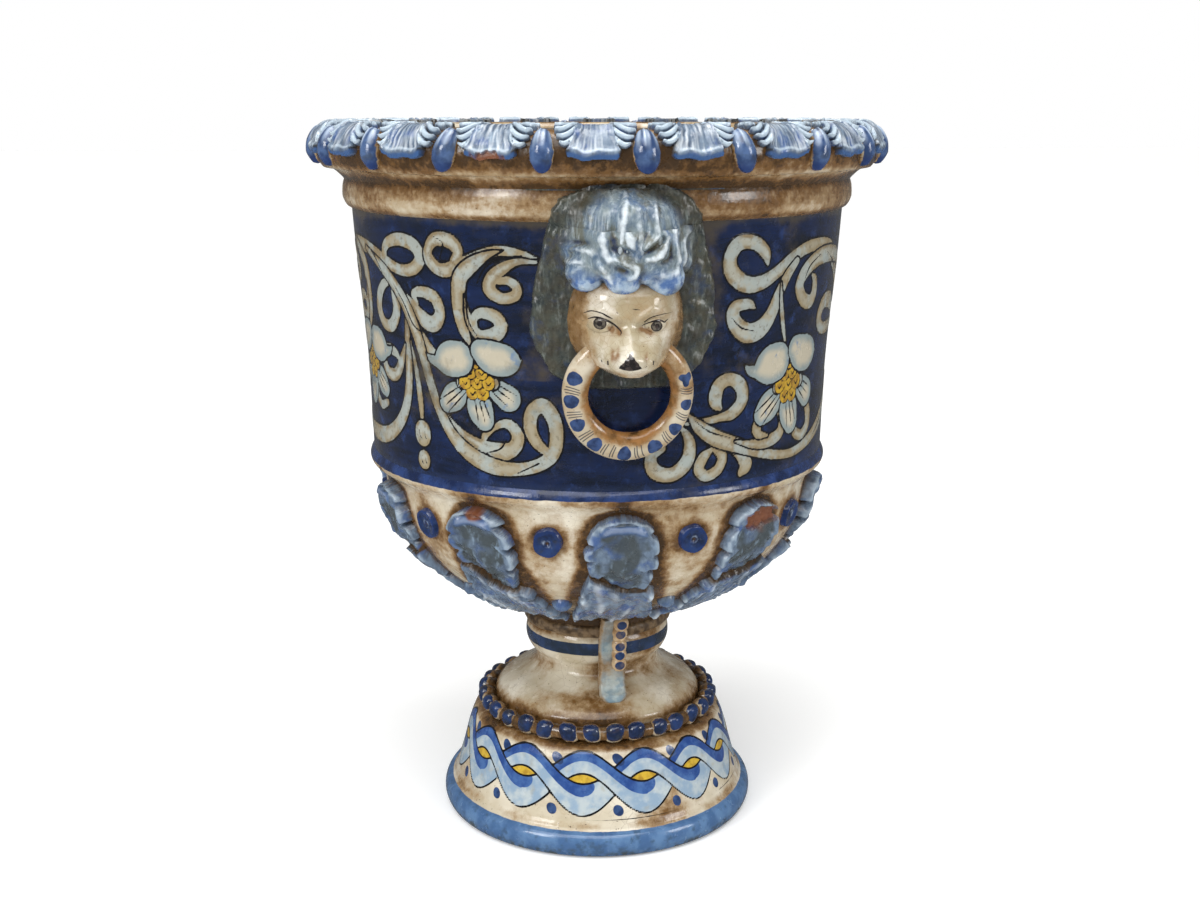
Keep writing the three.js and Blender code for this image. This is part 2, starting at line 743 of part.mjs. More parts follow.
const sprig = rimLeaf().add(rimDrop());
for (let k = 0; k < rimLeafCount; k += 1) {
  add(`rim_leaf_${k + 1}`, turned(sprig, (360 * k) / rimLeafCount), leafBlue, 0.3);
}

const acanthus = acanthusLeaf();
for (let k = 0; k < acanthusCount; k += 1) {
  const turn = (360 * k) / acanthusCount;
  add(`acanthus_leaf_${k + 1}`, turned(acanthus, turn), leafBlue, 0.3);
  add(`stud_${k + 1}`, stud(turn + 180 / acanthusCount), dropBlue, 0.3);
}

const maneSolid = mane();
const faceSolid = face();
const ringSolid = ring();
const leafGrown = acanthusLeaf(clearance);
const strapSolid = strap().subtract(bowlGrown).subtract(footGrown).subtract(leafGrown);
const ribSolid = rib().subtract(strap(clearance)).subtract(bowlGrown).subtract(footGrown).subtract(leafGrown);
for (const [side, turn] of [['front', 0], ['back', 180]]) {
  add(`lion_mane_${side}`, turned(maneSolid, turn), maneBlue, 0.35);
  add(`lion_face_${side}`, turned(faceSolid, turn), creamGlaze, 0.3);
  add(`mask_ring_${side}`, turned(ringSolid, turn), creamGlaze, 0.3);
  add(`strap_${side}`, turned(strapSolid, turn), paleBlue, 0.35);
  add(`strap_rib_${side}`, turned(ribSolid, turn), creamGlaze, 0.35);
}

export default vase;
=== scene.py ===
"""Looks of a krater vase of tin-glazed earthenware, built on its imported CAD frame.

Lengths are in millimetres until a mesh is made. +Z is up and the axis of the vase is the Z axis.
Azimuths are in degrees: 0 is at -Y, where the front mask sits, and they grow towards +X. Every relief
is a height over the thrown wall, on a grid that dips under the wall outside the outline of the relief.
"""

import bpy
import numpy as np
from mathutils import Euler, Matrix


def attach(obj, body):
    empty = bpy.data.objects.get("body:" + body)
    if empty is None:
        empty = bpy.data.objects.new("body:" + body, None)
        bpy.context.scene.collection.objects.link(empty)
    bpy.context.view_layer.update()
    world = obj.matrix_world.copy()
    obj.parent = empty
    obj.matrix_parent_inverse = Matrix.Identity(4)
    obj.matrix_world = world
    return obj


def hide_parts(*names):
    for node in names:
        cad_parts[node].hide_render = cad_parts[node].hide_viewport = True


bl_info = {
    "name": "Krater Vase",
    "version": (1, 0, 0),
    "blender": (4, 5, 0),
    "location": "View3D > Sidebar > Krater",
    "description": "Builds the looks of a krater vase of painted earthenware on its CAD frame",
    "category": "Object",
}

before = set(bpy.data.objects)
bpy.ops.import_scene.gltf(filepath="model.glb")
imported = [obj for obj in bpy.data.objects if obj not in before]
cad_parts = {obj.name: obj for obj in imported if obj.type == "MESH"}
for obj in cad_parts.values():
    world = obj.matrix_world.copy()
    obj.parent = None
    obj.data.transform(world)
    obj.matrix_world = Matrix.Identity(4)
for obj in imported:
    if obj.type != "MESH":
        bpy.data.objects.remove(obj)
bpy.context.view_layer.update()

FAR = 9.0  # a distance field's value away from its shape, in millimetres
BACK_ROWS = 10  # rows of points on the hidden side of a relief
RIM_PITCH = 18.0  # degrees from one rim leaf to the next
RIM_START = -6.5  # azimuth of the first rim leaf
LEAF_PITCH = 36.0  # acanthus leaves, with a stud halfway between two of them
PLAIT_COUNT = 15
PLAIT_PITCH = 24.0
BEAD_COUNT = 32
FACE_PLANE = 158.0  # distance from the axis to the plane that the face rises from


def spline(points, steps):
    """Cubics through the given points; the slope at each is half the way between its neighbours."""
    p = np.asarray(points, float)
    p = np.vstack([2 * p[0] - p[1], p, 2 * p[-1] - p[-2]])
    t = np.linspace(0, 1, steps, endpoint=False)[:, None]
    spans = []
    for a, b, c, d in zip(p, p[1:], p[2:], p[3:]):
        cubic = 3 * b - a - 3 * c + d
        spans.append(0.5 * (2 * b + (c - a) * t + (2 * a - 5 * b + 4 * c - d) * t**2 + cubic * t**3))
    return np.vstack(spans + [p[-2:-1]])


def arc(r, z, wide, tall, start, stop, count):
    """Points of an elliptical arc: its centre plus half axes times cosine and sine of the angle."""
    a = np.radians(np.linspace(start, stop, count))
    return np.stack([r + wide * np.cos(a), z + tall * np.sin(a)], 1)


def place(azimuth, r, z):
    """Points in space: the radius times sine and minus cosine of the azimuth, and the height."""
    a = np.radians(azimuth)
    return np.stack(np.broadcast_arrays(r * np.sin(a), -r * np.cos(a), z), -1)


def azimuth_of(points):
    """The angle whose sine goes with x and whose cosine goes with minus y, in degrees."""
    return np.degrees(np.arctan2(points[..., 0], -points[..., 1]))


def wave(points, size, seed, octaves=3):
    """Noise of about -1 to 1: four sine waves in random directions, and again at half length and height."""
    rng = np.random.default_rng(seed)
    total = np.zeros(np.shape(points)[:-1])
    for octave in range(octaves):
        for _ in range(4):
            way = rng.normal(size=np.shape(points)[-1])
            way *= 2 * np.pi * 2**octave / (size * np.linalg.norm(way))
            total += np.sin(points @ way + rng.uniform(0, 7)) / 2**octave
    return total / 3.5


def bump(distance, width):
    """A bell curve of height 1: e to the power of minus the square of distance over width."""
    return np.exp(-((distance / width) ** 2))


def rise(value, low, high):
    """0 below low, 1 above high, and three squares less two cubes of the share between them."""
    t = np.clip((value - low) / (high - low), 0, 1)
    return t * t * (3 - 2 * t)


def dome(x, y):
    """The root of 1 less the squares of x and y, which is the upper half of a ball, and 0 outside it."""
    return np.sqrt(np.clip(1 - x * x - y * y, 0, None))


def period(value, pitch):
    """The value shifted by whole pitches into the range from minus to plus half a pitch."""
    return (value + pitch / 2) % pitch - pitch / 2


def grid_faces(rows, columns, wrap_rows=False, wrap_columns=False):
    """Four-sided faces of a grid of points, row by row."""
    r = np.arange(rows if wrap_rows else rows - 1)[:, None]
    c = np.arange(columns if wrap_columns else columns - 1)[None, :]
    up = (r + 1) % rows
    right = (c + 1) % columns
    corners = [r * columns + c, r * columns + right, up * columns + right, up * columns + c]
    return np.stack(corners, -1).reshape(-1, 4)


def tube(front, back):
    """A closed body from a front and a back grid of one width, with flat ends at the outer columns."""
    points = np.concatenate([front, back[::-1]])
    rows, columns = points.shape[:2]
    first = np.arange(rows)[None, :] * columns
    faces = [grid_faces(rows, columns, wrap_rows=True), first, first[:, ::-1] + columns - 1]
    return points.reshape(-1, 3), faces


def capped(rows, columns):
    """Faces of a stack of rings whose two ends run to the two points that follow the grid."""
    here = np.arange(columns)
    there = (here + 1) % columns
    count = rows * columns
    last = count - columns
    low = np.stack([np.full(columns, count), there, here], 1)
    high = np.stack([last + here, last + there, np.full(columns, count + 1)], 1)
    return [grid_faces(rows, columns, wrap_columns=True), low, high]


def thrown(profile, columns):
    """A profile turned about the Z axis; its first and last points lie on the axis."""
    profile = np.asarray(profile, float)
    ring = profile[profile[:, 0] > 0]
    azimuth = np.linspace(-180, 180, columns, endpoint=False)
    points = place(azimuth[None, :], ring[:, :1], ring[:, 1:]).reshape(-1, 3)
    points = np.vstack([points, [[0, 0, profile[0, 1]], [0, 0, profile[-1, 1]]]])
    return points, capped(len(ring), columns)


def rod(path, radius, sides):
    """A closed tube on a closed path: the path plus the radius times cosine outwards and sine sideways."""
    path = np.asarray(path, float)
    along = np.roll(path, -1, 0) - np.roll(path, 1, 0)
    along /= np.linalg.norm(along, axis=1)[:, None]
    out = path * [1, 1, 0]
    out /= np.linalg.norm(out, axis=1)[:, None]
    side = np.cross(along, out)
    a = np.linspace(0, 2 * np.pi, sides, endpoint=False)[None, :, None]
    ray = out[:, None] * np.cos(a) + side[:, None] * np.sin(a)
    points = path[:, None] + ray * np.reshape(radius, (-1, 1, 1))
    return points.reshape(-1, 3), [grid_faces(len(path), sides, True, True)]


def ball(centre, axes, rows=18, columns=28):
    """A stretched ball: cosines and sines of latitude and longitude times three half axes, as vectors."""
    up = np.radians(np.linspace(-90, 90, rows + 1)[1:-1])[:, None]
    turn = np.linspace(0, 2 * np.pi, columns, endpoint=False)[None, :]
    x, y, z = np.broadcast_arrays(np.cos(up) * np.cos(turn), np.cos(up) * np.sin(turn), np.sin(up))
    unit = np.vstack([np.stack([x, y, z], -1).reshape(-1, 3), [[0, 0, -1], [0, 0, 1]]])
    return np.asarray(centre) + unit @ np.asarray(axes, float), capped(rows - 1, columns)


def turned(points, degrees):
    """Points turned about the axis of the vase."""
    return points @ np.array(Euler((0, 0, np.radians(degrees))).to_matrix()).T


def joined(parts):
    """Several closed bodies as one list of points and faces, each with its faces outward."""
    points, faces, start = [], [], 0
    for body_points, body_faces in parts:
        points.append(body_points)
        faces += [block + start for block in outward(body_points, body_faces)]
        start += len(body_points)
    return np.vstack(points), faces


def outward(points, faces):
    """The same faces, all turned over where the body would have a negative volume."""
    volume = 0.0
    for block in faces:
        for k in range(1, block.shape[1] - 1):
            a, b, c = points[block[:, 0]], points[block[:, k]], points[block[:, k + 1]]
            volume += np.einsum("ij,ij->", a, np.cross(b, c))
    return faces if volume > 0 else [block[:, ::-1] for block in faces]


def make(name, body, material, node, fields=None):
    """A shown piece from points in millimetres and faces; it rides on the vase and replaces a node."""
    points, faces = body
    faces = outward(points, faces)
    mesh = bpy.data.meshes.new(name)
    mesh.vertices.add(len(points))
    mesh.vertices.foreach_set("co", (points * 0.001).ravel())
    loops = np.concatenate([block.ravel() for block in faces])
    sizes = np.concatenate([np.full(len(block), block.shape[1]) for block in faces])
    mesh.loops.add(len(loops))
    mesh.loops.foreach_set("vertex_index", loops)
    mesh.polygons.add(len(sizes))
    mesh.polygons.foreach_set("loop_start", np.concatenate([[0], np.cumsum(sizes)[:-1]]))
    mesh.polygons.foreach_set("loop_total", sizes)
    mesh.polygons.foreach_set("use_smooth", np.ones(len(sizes), bool))
    mesh.update(calc_edges=True)
    for field, values in (fields or {}).items():
        layer = mesh.attributes.new(field, "FLOAT", "POINT")
        values = np.ascontiguousarray(np.broadcast_to(values, len(points)), np.float32)
        layer.data.foreach_set("value", values)
    mesh.set_sharp_from_angle(angle=np.radians(50))
    mesh.materials.append(material)
    piece = bpy.data.objects.new(name, mesh)
    bpy.context.scene.collection.objects.link(piece)
    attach(piece, "root")
    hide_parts(node)


class Wall:
    """A thrown wall: its profile with the length along it and its outward direction."""

    def __init__(self, points):
        self.points = np.asarray(points, float)
        steps = np.linalg.norm(np.diff(self.points, axis=0), axis=1)
        self.lengths = np.concatenate([[0], np.cumsum(steps)])
        along = np.gradient(self.points, self.lengths, axis=0)
        along /= np.linalg.norm(along, axis=1)[:, None]
        self.normals = np.stack([along[:, 1], -along[:, 0]], 1)

    def length_at(self, z):
        """Length at which the profile, going up, first reaches a height."""
        i = int(np.argmax(self.points[:, 1] >= z))
        return float(np.interp(z, self.points[i - 1:i + 1, 1], self.lengths[i - 1:i + 1]))

    def at(self, s):
        """Radius, height and outward direction at lengths s, read off the profile."""
        return [np.interp(s, self.lengths, v) for v in (*self.points.T, *self.normals.T)]

    def lift(self, azimuth, x, s, height):
        """Points x millimetres to the side of an azimuth, at lengths s, and a height over the wall."""
        r, z, nr, nz = self.at(s)
        return place(azimuth + np.degrees(x / r), r + nr * height, z + nz * height)

    def relief(self, azimuth, x, s, height, back=-3.0):
        """A closed relief: x across, s along the wall, heights in rows along s."""
        keep = np.linspace(0, len(s) - 1, BACK_ROWS).astype(int)
        front = self.lift(azimuth, x[None, :], s[:, None], np.maximum(height, back + 0.5))
        behind = self.lift(azimuth, x[None, :], s[keep, None], np.full((BACK_ROWS, len(x)), back))
        return tube(front, behind)


def from_segment(gx, gy, a, b):
    """Distance to the segment from a to b, the place along it from 0 to 1, and its half width there."""
    d = b - a
    t = np.clip(((gx - a[0]) * d[0] + (gy - a[1]) * d[1]) / max(d[0] ** 2 + d[1] ** 2, 1e-9), 0, 1)
    return np.hypot(gx - a[0] - t * d[0], gy - a[1] - t * d[1]), t, a[2] + t * d[2]


def smooth_path(points, steps):
    """A stroke's points as a smooth path; a single point becomes a dot."""
    return spline(points, steps) if len(points) > 1 else np.array([points[0], points[0]], float)


def stroke_field(xs, ys, points, steps=7):
    """Distance to a tapered stroke less its half width, on a grid, and the place along it from 0 to 1."""
    path = smooth_path(points, steps)
    reach = path[:, 2].max() + 5
    i, k = np.searchsorted(xs, [path[:, 0].min() - reach, path[:, 0].max() + reach])
    j, l = np.searchsorted(ys, [path[:, 1].min() - reach, path[:, 1].max() + reach])
    field = np.full((len(ys), len(xs)), FAR)
    place_along = np.zeros_like(field)
    if i == k or j == l:
        return field, place_along
    gx, gy = np.meshgrid(xs[i:k], ys[j:l])
    best = field[j:l, i:k]
    along = place_along[j:l, i:k]
    for n, (a, b) in enumerate(zip(path, path[1:])):
        away, t, half = from_segment(gx, gy, a, b)
        nearer = away - half < best
        best[nearer] = (away - half)[nearer]
        along[nearer] = ((n + t) / (len(path) - 1))[nearer]
    return field, place_along


def painted(xs, ys, layers, line):
    """Layers of brush strokes, from the lowest up, as distance fields: each fill hides what is under it."""
    fields = {name: np.full((len(ys), len(xs)), FAR) for name in ("light", "white", "yellow", "ink")}
    tone = np.zeros((len(ys), len(xs)))
    for kind, points in layers:
        shape, along = stroke_field(xs, ys, points)
        if kind == "ink":
            fields["ink"] = np.minimum(fields["ink"], shape)
            continue
        own = {kind: shape, "ink": np.abs(shape) - line * (0.6 if kind == "yellow" else 1.0)}
        for name, field in fields.items():
            fields[name] = np.minimum(np.maximum(field, -shape), own.get(name, FAR))
        tone = np.where(shape < 0, along, tone)
    return fields, tone


def rgb(red, green, blue):
    """A colour given by its display values from 0 to 255."""
    c = np.array([red, green, blue]) / 255
    linear = np.where(c <= 0.04045, c / 12.92, ((c + 0.055) / 1.055) ** 2.4)
    return (*(float(v) for v in linear), 1.0)


CREAM = rgb(194, 181, 154)
PALE = rgb(224, 216, 198)
# Tan and browns of stains; through the dirt-and-shade field they also paint shade in hollows and on sides
# turned from the light.
TAN = rgb(158, 129, 90)
STAIN_AND_SHADE = rgb(114, 82, 46)
DARK_STAIN_AND_SHADE = rgb(58, 40, 20)
NIGHT = rgb(12, 20, 34)
DEEP_BLUE = rgb(20, 35, 70)
STROKE_BLUE = rgb(44, 68, 122)
SCROLL = rgb(170, 172, 162)
SCROLL_WARM = rgb(130, 114, 86)
YELLOW = rgb(186, 150, 44)
INK = rgb(16, 16, 20)
SOOT = rgb(30, 33, 36)


class Glaze:
    """A procedural material, put together from fields on the mesh and noise in object space."""

    def __init__(self, name):
        self.material = bpy.data.materials.new(name)
        self.material.use_nodes = True
        self.tree = self.material.node_tree
        self.shader = self.tree.nodes["Principled BSDF"]
        self.space = self.tree.nodes.new("ShaderNodeTexCoord").outputs["Object"]

    def add(self, kind, inputs, output=0, **settings):
        """Adds a node, sets or links its inputs by name or number, and returns one of its outputs."""
        node = self.tree.nodes.new(kind)
        for key, value in settings.items():
            setattr(node, key, value)
        for key, value in inputs.items():
            self.put(node.inputs[key], value)
        return node.outputs[output]

    def put(self, socket, value):
        if isinstance(value, bpy.types.NodeSocket):
            self.tree.links.new(value, socket)
        else:
            socket.default_value = value

    def field(self, name):
        return self.add("ShaderNodeAttribute", {}, "Fac", attribute_name=name)

    def noise(self, size, detail=3.0, stretch=(1, 1, 1), shift=0.0, rough=0.55):
        """Noise from 0 to 1 with lumps of about a size in millimetres."""
        place_at = self.add("ShaderNodeMapping", {0: self.space, "Scale": stretch, "Location": (shift,) * 3})
        inputs = {"Vector": place_at, "Scale": 1000 / size, "Detail": detail, "Roughness": rough}
        return self.add("ShaderNodeTexNoise", inputs, "Fac")

    def cracks(self, size):
        """Distance to the edge of the cells of a crazed glaze, as a share of the cell."""
        wander = self.scaled(self.noise(size * 2.5, 2.0), 0.002)
        bent = self.add("ShaderNodeVectorMath", {0: self.space, 1: wander}, operation="ADD")
        inputs = {"Vector": bent, "Scale": 1000 / size}
        return self.add("ShaderNodeTexVoronoi", inputs, "Distance", feature="DISTANCE_TO_EDGE")

    def scaled(self, value, factor):
        return self.math("MULTIPLY", value, factor)

    def math(self, operation, a, b=0.0):
        return self.add("ShaderNodeMath", {0: a, 1: b}, operation=operation)

    def ramp(self, value, low, high, smooth=True):
        """0 at low, 1 at high; low may be above high."""
        inputs = {"Value": value, "From Min": low, "From Max": high}
        kind = "SMOOTHSTEP" if smooth else "LINEAR"
        return self.add("ShaderNodeMapRange", inputs, interpolation_type=kind)

    def blend(self, factor, a, b):
        inputs = {0: factor, 6: a, 7: b}
        return self.add("ShaderNodeMix", inputs, 2, data_type="RGBA")

    def between(self, a, b, low, high, *lumps, **more):
        """A colour that goes from one to another as a noise goes from low to high."""
        return self.blend(self.ramp(self.noise(*lumps, **more), low, high), a, b)

    def mottle(self, color, patch, amount, low, high, *lumps, **more):
        """A colour with patches of another, thin by amount, where a noise is above low to high."""
        share = self.ramp(self.noise(*lumps, **more), low, high)
        return self.blend(self.scaled(share, amount), color, patch)

    def patchy(self, value, low, high, *lumps, **more):
        """A value that stays only where a noise is above low to high."""
        return self.math("MULTIPLY", value, self.ramp(self.noise(*lumps, **more), low, high))

    def shaken(self, name, amount, *lumps, centre=0.0, **more):
        """A field of the mesh with noise, less its centre and times the amount, added to it."""
        wander = self.math("SUBTRACT", self.noise(*lumps, **more), centre)
        return self.math("ADD", self.field(name), self.scaled(wander, amount))

    def done(self, color, roughness=0.2, relief=None, depth=0.3, coat=0.35):
        """Sets the shader: roughness, a clear coat, and a relief in millimetres of depth."""
        self.put(self.shader.inputs["Base Color"], color)
        self.put(self.shader.inputs["Roughness"], roughness)
        self.put(self.shader.inputs["Coat Weight"], coat)
        self.put(self.shader.inputs["Coat Roughness"], 0.08)
        self.put(self.shader.inputs["IOR"], 1.5)
        if relief is not None:
            inputs = {"Strength": 1.0, "Distance": depth * 0.001, "Height": relief}
            self.put(self.shader.inputs["Normal"], self.add("ShaderNodeBump", inputs))
        return self.material


def stained_and_shaded(glaze, color, dirt_and_shade, amount=1.0):
    """A glaze with tan and brown staining, partly painted shade, where the dirt-and-shade field is high,
    fine crazing and dark specks.
    """
    cloud = glaze.noise(24, 6.0, rough=0.66)
    fine = glaze.noise(4.5, 6.0, shift=3.0, rough=0.7)
    streak = glaze.noise(15, 4.0, stretch=(0.35, 0.35, 2.2), shift=7.0)
    stain_and_shade = glaze.math("ADD", dirt_and_shade, glaze.scaled(glaze.ramp(cloud, 0.36, 0.7), 0.42 * amount))
    stain_and_shade = glaze.math("ADD", stain_and_shade, glaze.scaled(glaze.ramp(streak, 0.4, 0.68), 0.16 * amount))
    grain = glaze.math("ADD", glaze.scaled(glaze.ramp(fine, 0.3, 0.7, False), 0.8), 0.6)
    stain_and_shade = glaze.math("MULTIPLY", stain_and_shade, grain)
    color = glaze.blend(glaze.scaled(glaze.ramp(stain_and_shade, 0.08, 0.6, False), 0.9), color, TAN)
    color = glaze.blend(glaze.ramp(stain_and_shade, 0.45, 1.05), color, STAIN_AND_SHADE)
    color = glaze.blend(glaze.scaled(glaze.ramp(stain_and_shade, 1.0, 1.6), 0.85), color, DARK_STAIN_AND_SHADE)
    craze = glaze.ramp(glaze.cracks(6.5), 0.035, 0.0)
    craze = glaze.math("MULTIPLY", craze, glaze.ramp(glaze.noise(34, 2.0, shift=11.0), 0.42, 0.62))
    color = glaze.blend(glaze.scaled(craze, 0.3 * amount), color, STAIN_AND_SHADE)
    speck = glaze.ramp(glaze.noise(1.5, 1.0, shift=5.0), 0.725, 0.765)
    return glaze.blend(glaze.scaled(speck, 0.75 * min(1.0, amount + 0.3)), color, DARK_STAIN_AND_SHADE)


def glaze_relief(glaze):
    """Faint throwing marks, waves and pinholes of a thick glaze."""
    rings = glaze.scaled(glaze.noise(9, 2.0, stretch=(0.12, 0.12, 2.0)), 0.5)
    return glaze.math("ADD", rings, glaze.scaled(glaze.noise(5, 3.0), 0.6))


def rough_from(glaze, low, high):
    """Roughness that wanders between two values in patches of a few millimetres."""
    limits = {"From Min": 0.3, "From Max": 0.72, "To Min": low, "To Max": high}
    return glaze.add("ShaderNodeMapRange", {"Value": glaze.noise(7, 4.0, shift=2.0), **limits})


def cream_base(glaze):
    """Cream ground in two close tones."""
    return glaze.between(CREAM, PALE, 0.35, 0.7, 40, 3.0)


def cream_glaze():
    """Cream tin glaze of the thrown walls, with a painted blue zone where the blue field is below 0."""
    g = Glaze("cream_glaze")
    color = stained_and_shaded(g, cream_base(g), g.field("dirt_and_shade"))
    blue = g.between(DEEP_BLUE, rgb(40, 62, 112), 0.35, 0.65, 12, 4.0)
    blue = g.mottle(blue, SOOT, 0.5, 0.5, 0.8, 5, 4.0, shift=9.0)
    color = g.blend(g.ramp(g.shaken("blue", 1.6, 9, 2.0, shift=4.0), 0.95, 0.55), color, blue)
    return g.done(color, rough_from(g, 0.12, 0.4), glaze_relief(g), 0.5)


def band_glaze():
    """The painted band: blue ground, scrolls with warm edges, pale petals, yellow scales, dark outlines."""
    g = Glaze("band_glaze")
    color = g.between(NIGHT, DEEP_BLUE, 0.3, 0.66, 26, 6.0, stretch=(0.5, 0.5, 2.4), rough=0.68)
    color = g.mottle(color, STROKE_BLUE, 0.75, 0.52, 0.76, 15, 6.0, shift=6.0, rough=0.7)
    color = g.mottle(color, rgb(26, 30, 38), 0.6, 0.56, 0.72, 22, 5.0, shift=12.0)
    color = g.blend(g.scaled(g.ramp(g.field("edge"), 5.0, 0.0), 0.3), color, rgb(46, 60, 90))
    depth = g.shaken("light", 7.0, 7, 5.0, shift=2.0, rough=0.65)
    light = g.blend(g.ramp(depth, -0.4, 2.2), SCROLL, SCROLL_WARM)
    warm = g.math("ADD", g.scaled(g.field("tone"), 0.5), g.scaled(g.noise(30, 3.0, shift=2.0), 1.3))
    light = g.blend(g.scaled(g.ramp(warm, 0.55, 1.1), 0.7), light, rgb(150, 136, 106))
    light = g.mottle(light, rgb(158, 168, 166), 0.75, 0.46, 0.6, 14, 3.0, shift=8.0)
    light = g.mottle(light, rgb(92, 76, 50), 0.7, 0.52, 0.74, 3.2, 5.0, shift=1.0, rough=0.7)
    depth = g.shaken("white", 6.0, 8, 4.0, shift=5.0)
    white = g.blend(g.ramp(depth, -4.5, 1.5), rgb(186, 178, 158), rgb(136, 148, 148))
    white = g.mottle(white, rgb(100, 128, 160), 0.8, 0.6, 0.72, 9, 3.0, shift=15.0)
    yellow = g.between(YELLOW, rgb(150, 112, 40), 0.4, 0.65, 5, 4.0)
    for name, fill in (("light", light), ("white", white), ("yellow", yellow)):
        rim = g.shaken(name, 0.5, 6, 2.0, centre=0.5, shift=3.0)
        color = g.blend(g.ramp(rim, 0.15, -0.15), color, fill)
    line = g.shaken("ink", 0.7, 2.5, 2.0, centre=0.5, shift=13.0)
    color = g.blend(g.ramp(line, 0.17, -0.13), color, INK)
    # Brown dirt and painted shade round the edges of the manes and under the collar.
    darkened = g.ramp(g.shaken("dirt_and_shade", 0.9, 9, 6.0, shift=20.0, rough=0.7), 0.62, 1.2)
    color = g.blend(g.scaled(darkened, 0.8), color, rgb(78, 70, 56))
    return g.done(color, rough_from(g, 0.1, 0.32), glaze_relief(g), 0.4)


def bell_glaze():
    """The painted foot: a plait of blue and pale bands, yellow eyes, drops, blue rings and a blue rim."""
    g = Glaze("bell_glaze")
    color = stained_and_shaded(g, cream_base(g), g.field("dirt_and_shade"))
    ice = g.between(rgb(142, 165, 186), rgb(184, 194, 196), 0.38, 0.66, 11, 3.0)
    ice = g.mottle(ice, rgb(166, 160, 138), 0.5, 0.56, 0.74, 8, 5.0, shift=14.0)
    mid = g.between(rgb(38, 70, 134), rgb(72, 108, 164), 0.35, 0.7, 9, 4.0, shift=4.0)
    rim = g.between(rgb(68, 100, 142), rgb(92, 126, 166), 0.36, 0.66, 12, 4.0, shift=4.0)
    rim = g.mottle(rim, rgb(62, 84, 108), 0.75, 0.52, 0.7, 7, 5.0, shift=6.0)
    darkened = g.patchy(g.ramp(g.field("low"), 8.0, 2.0), 0.42, 0.6, 5, 5.0, shift=1.0)
    rim = g.blend(darkened, rim, rgb(68, 78, 82))
    yellow = g.between(rgb(204, 170, 56), rgb(166, 128, 40), 0.4, 0.7, 5, 3.0)
    drop = g.between(rgb(34, 54, 94), rgb(54, 80, 126), 0.4, 0.66, 6, 4.0, shift=9.0)
    knop = g.between(rgb(36, 48, 64), rgb(44, 64, 100), 0.4, 0.66, 14, 4.0, shift=8.0)
    fills = {"body": ice, "mid": mid, "eye": yellow, "drop": drop, "knop": knop, "rim": rim, "ink": INK}
    for name, fill in fills.items():
        edge = g.shaken(name, 0.5, 5, 2.0, centre=0.5, shift=3.0)
        color = g.blend(g.ramp(edge, 0.17, -0.13), color, fill)
    return g.done(color, rough_from(g, 0.1, 0.32), glaze_relief(g), 0.4)


def leaf_glaze():
    """Leaves: mottled grey-blue and grey-green glaze, with painted highlights on the crests and painted
    shade in the hollows.
    """
    g = Glaze("leaf_glaze")
    grain = {"stretch": (1, 1, 0.4), "rough": 0.68}
    color = g.between(rgb(74, 88, 108), rgb(112, 130, 150), 0.34, 0.64, 10, 6.0, **grain)
    color = g.mottle(color, rgb(60, 88, 140), 0.85, 0.5, 0.66, 13, 5.0, shift=9.0)
    moss = g.ramp(g.shaken("moss", 1.0, 13, 5.0, shift=5.0, rough=0.65), 0.85, 1.35)
    color = g.blend(g.scaled(moss, 0.9), color, rgb(66, 73, 74))
    color = g.mottle(color, rgb(138, 160, 180), 0.7, 0.55, 0.74, 6, 5.0, stretch=(1, 1, 0.5), shift=14.0)
    # Painted highlight where the crest field is high, painted shade where it is low.
    color = g.blend(g.scaled(g.ramp(g.field("crest"), 0.3, 1.1), 0.9), color, rgb(190, 206, 218))
    color = g.blend(g.ramp(g.field("crest"), -0.15, -0.8), color, rgb(46, 48, 48))
    color = g.blend(g.field("lip"), color, rgb(58, 90, 138))
    color = g.blend(g.field("shine"), color, rgb(232, 239, 244))
    # Brown dirt and painted shade where the relief sinks to the wall.
    brown = g.patchy(g.field("dirt_and_shade"), 0.25, 0.55, 6, 4.0, shift=4.0)
    color = g.blend(brown, color, rgb(84, 62, 38))
    clay = g.blend(g.noise(4, 4.0), rgb(98, 54, 36), rgb(140, 92, 66))
    color = g.blend(g.ramp(g.field("chip"), 0.3, -0.3), color, clay)
    relief = g.math("ADD", g.noise(3, 4.0), g.noise(9, 3.0, stretch=(1, 1, 0.3)))
    return g.done(color, rough_from(g, 0.12, 0.34), relief, 0.55)


def blue_glaze(name="blue_glaze", deep=rgb(22, 34, 60), mid=rgb(36, 58, 104)):
    """Beads, studs and drops: deep blue paint with painted highlights and painted shade, and stained cream
    where the paint field is above 0.
    """
    g = Glaze(name)
    color = g.between(deep, mid, 0.35, 0.66, 8, 4.0)
    color = g.mottle(color, rgb(56, 60, 64), 0.5, 0.5, 0.68, 7, 5.0, shift=7.0)
    # Painted highlight where the pale field is high, painted shade where it is below 0.
    color = g.blend(g.ramp(g.field("pale"), 0.1, 0.95), color, rgb(172, 188, 208))
    color = g.blend(g.scaled(g.ramp(g.field("pale"), -0.1, -0.9), 0.85), color, rgb(30, 52, 104))
    bare = stained_and_shaded(g, rgb(190, 180, 158), g.field("dirt_and_shade"))
    color = g.blend(g.ramp(g.shaken("paint", 1.2, 4, 3.0, shift=2.0), 0.45, 0.75), color, bare)
    # Brown dirt and painted shade where the dirt-and-shade field is high.
    brown = g.patchy(g.ramp(g.field("dirt_and_shade"), 0.3, 1.1), 0.35, 0.65, 3, 4.0, shift=4.0)
    color = g.blend(brown, color, rgb(76, 58, 38))
    return g.done(color, rough_from(g, 0.06, 0.24), g.noise(4, 3.0), 0.35, coat=0.5)


def drop_glaze():
    """Drops of the rim: a brighter blue than the beads and the studs."""
    return blue_glaze("drop_glaze", rgb(46, 66, 104), rgb(78, 102, 142))


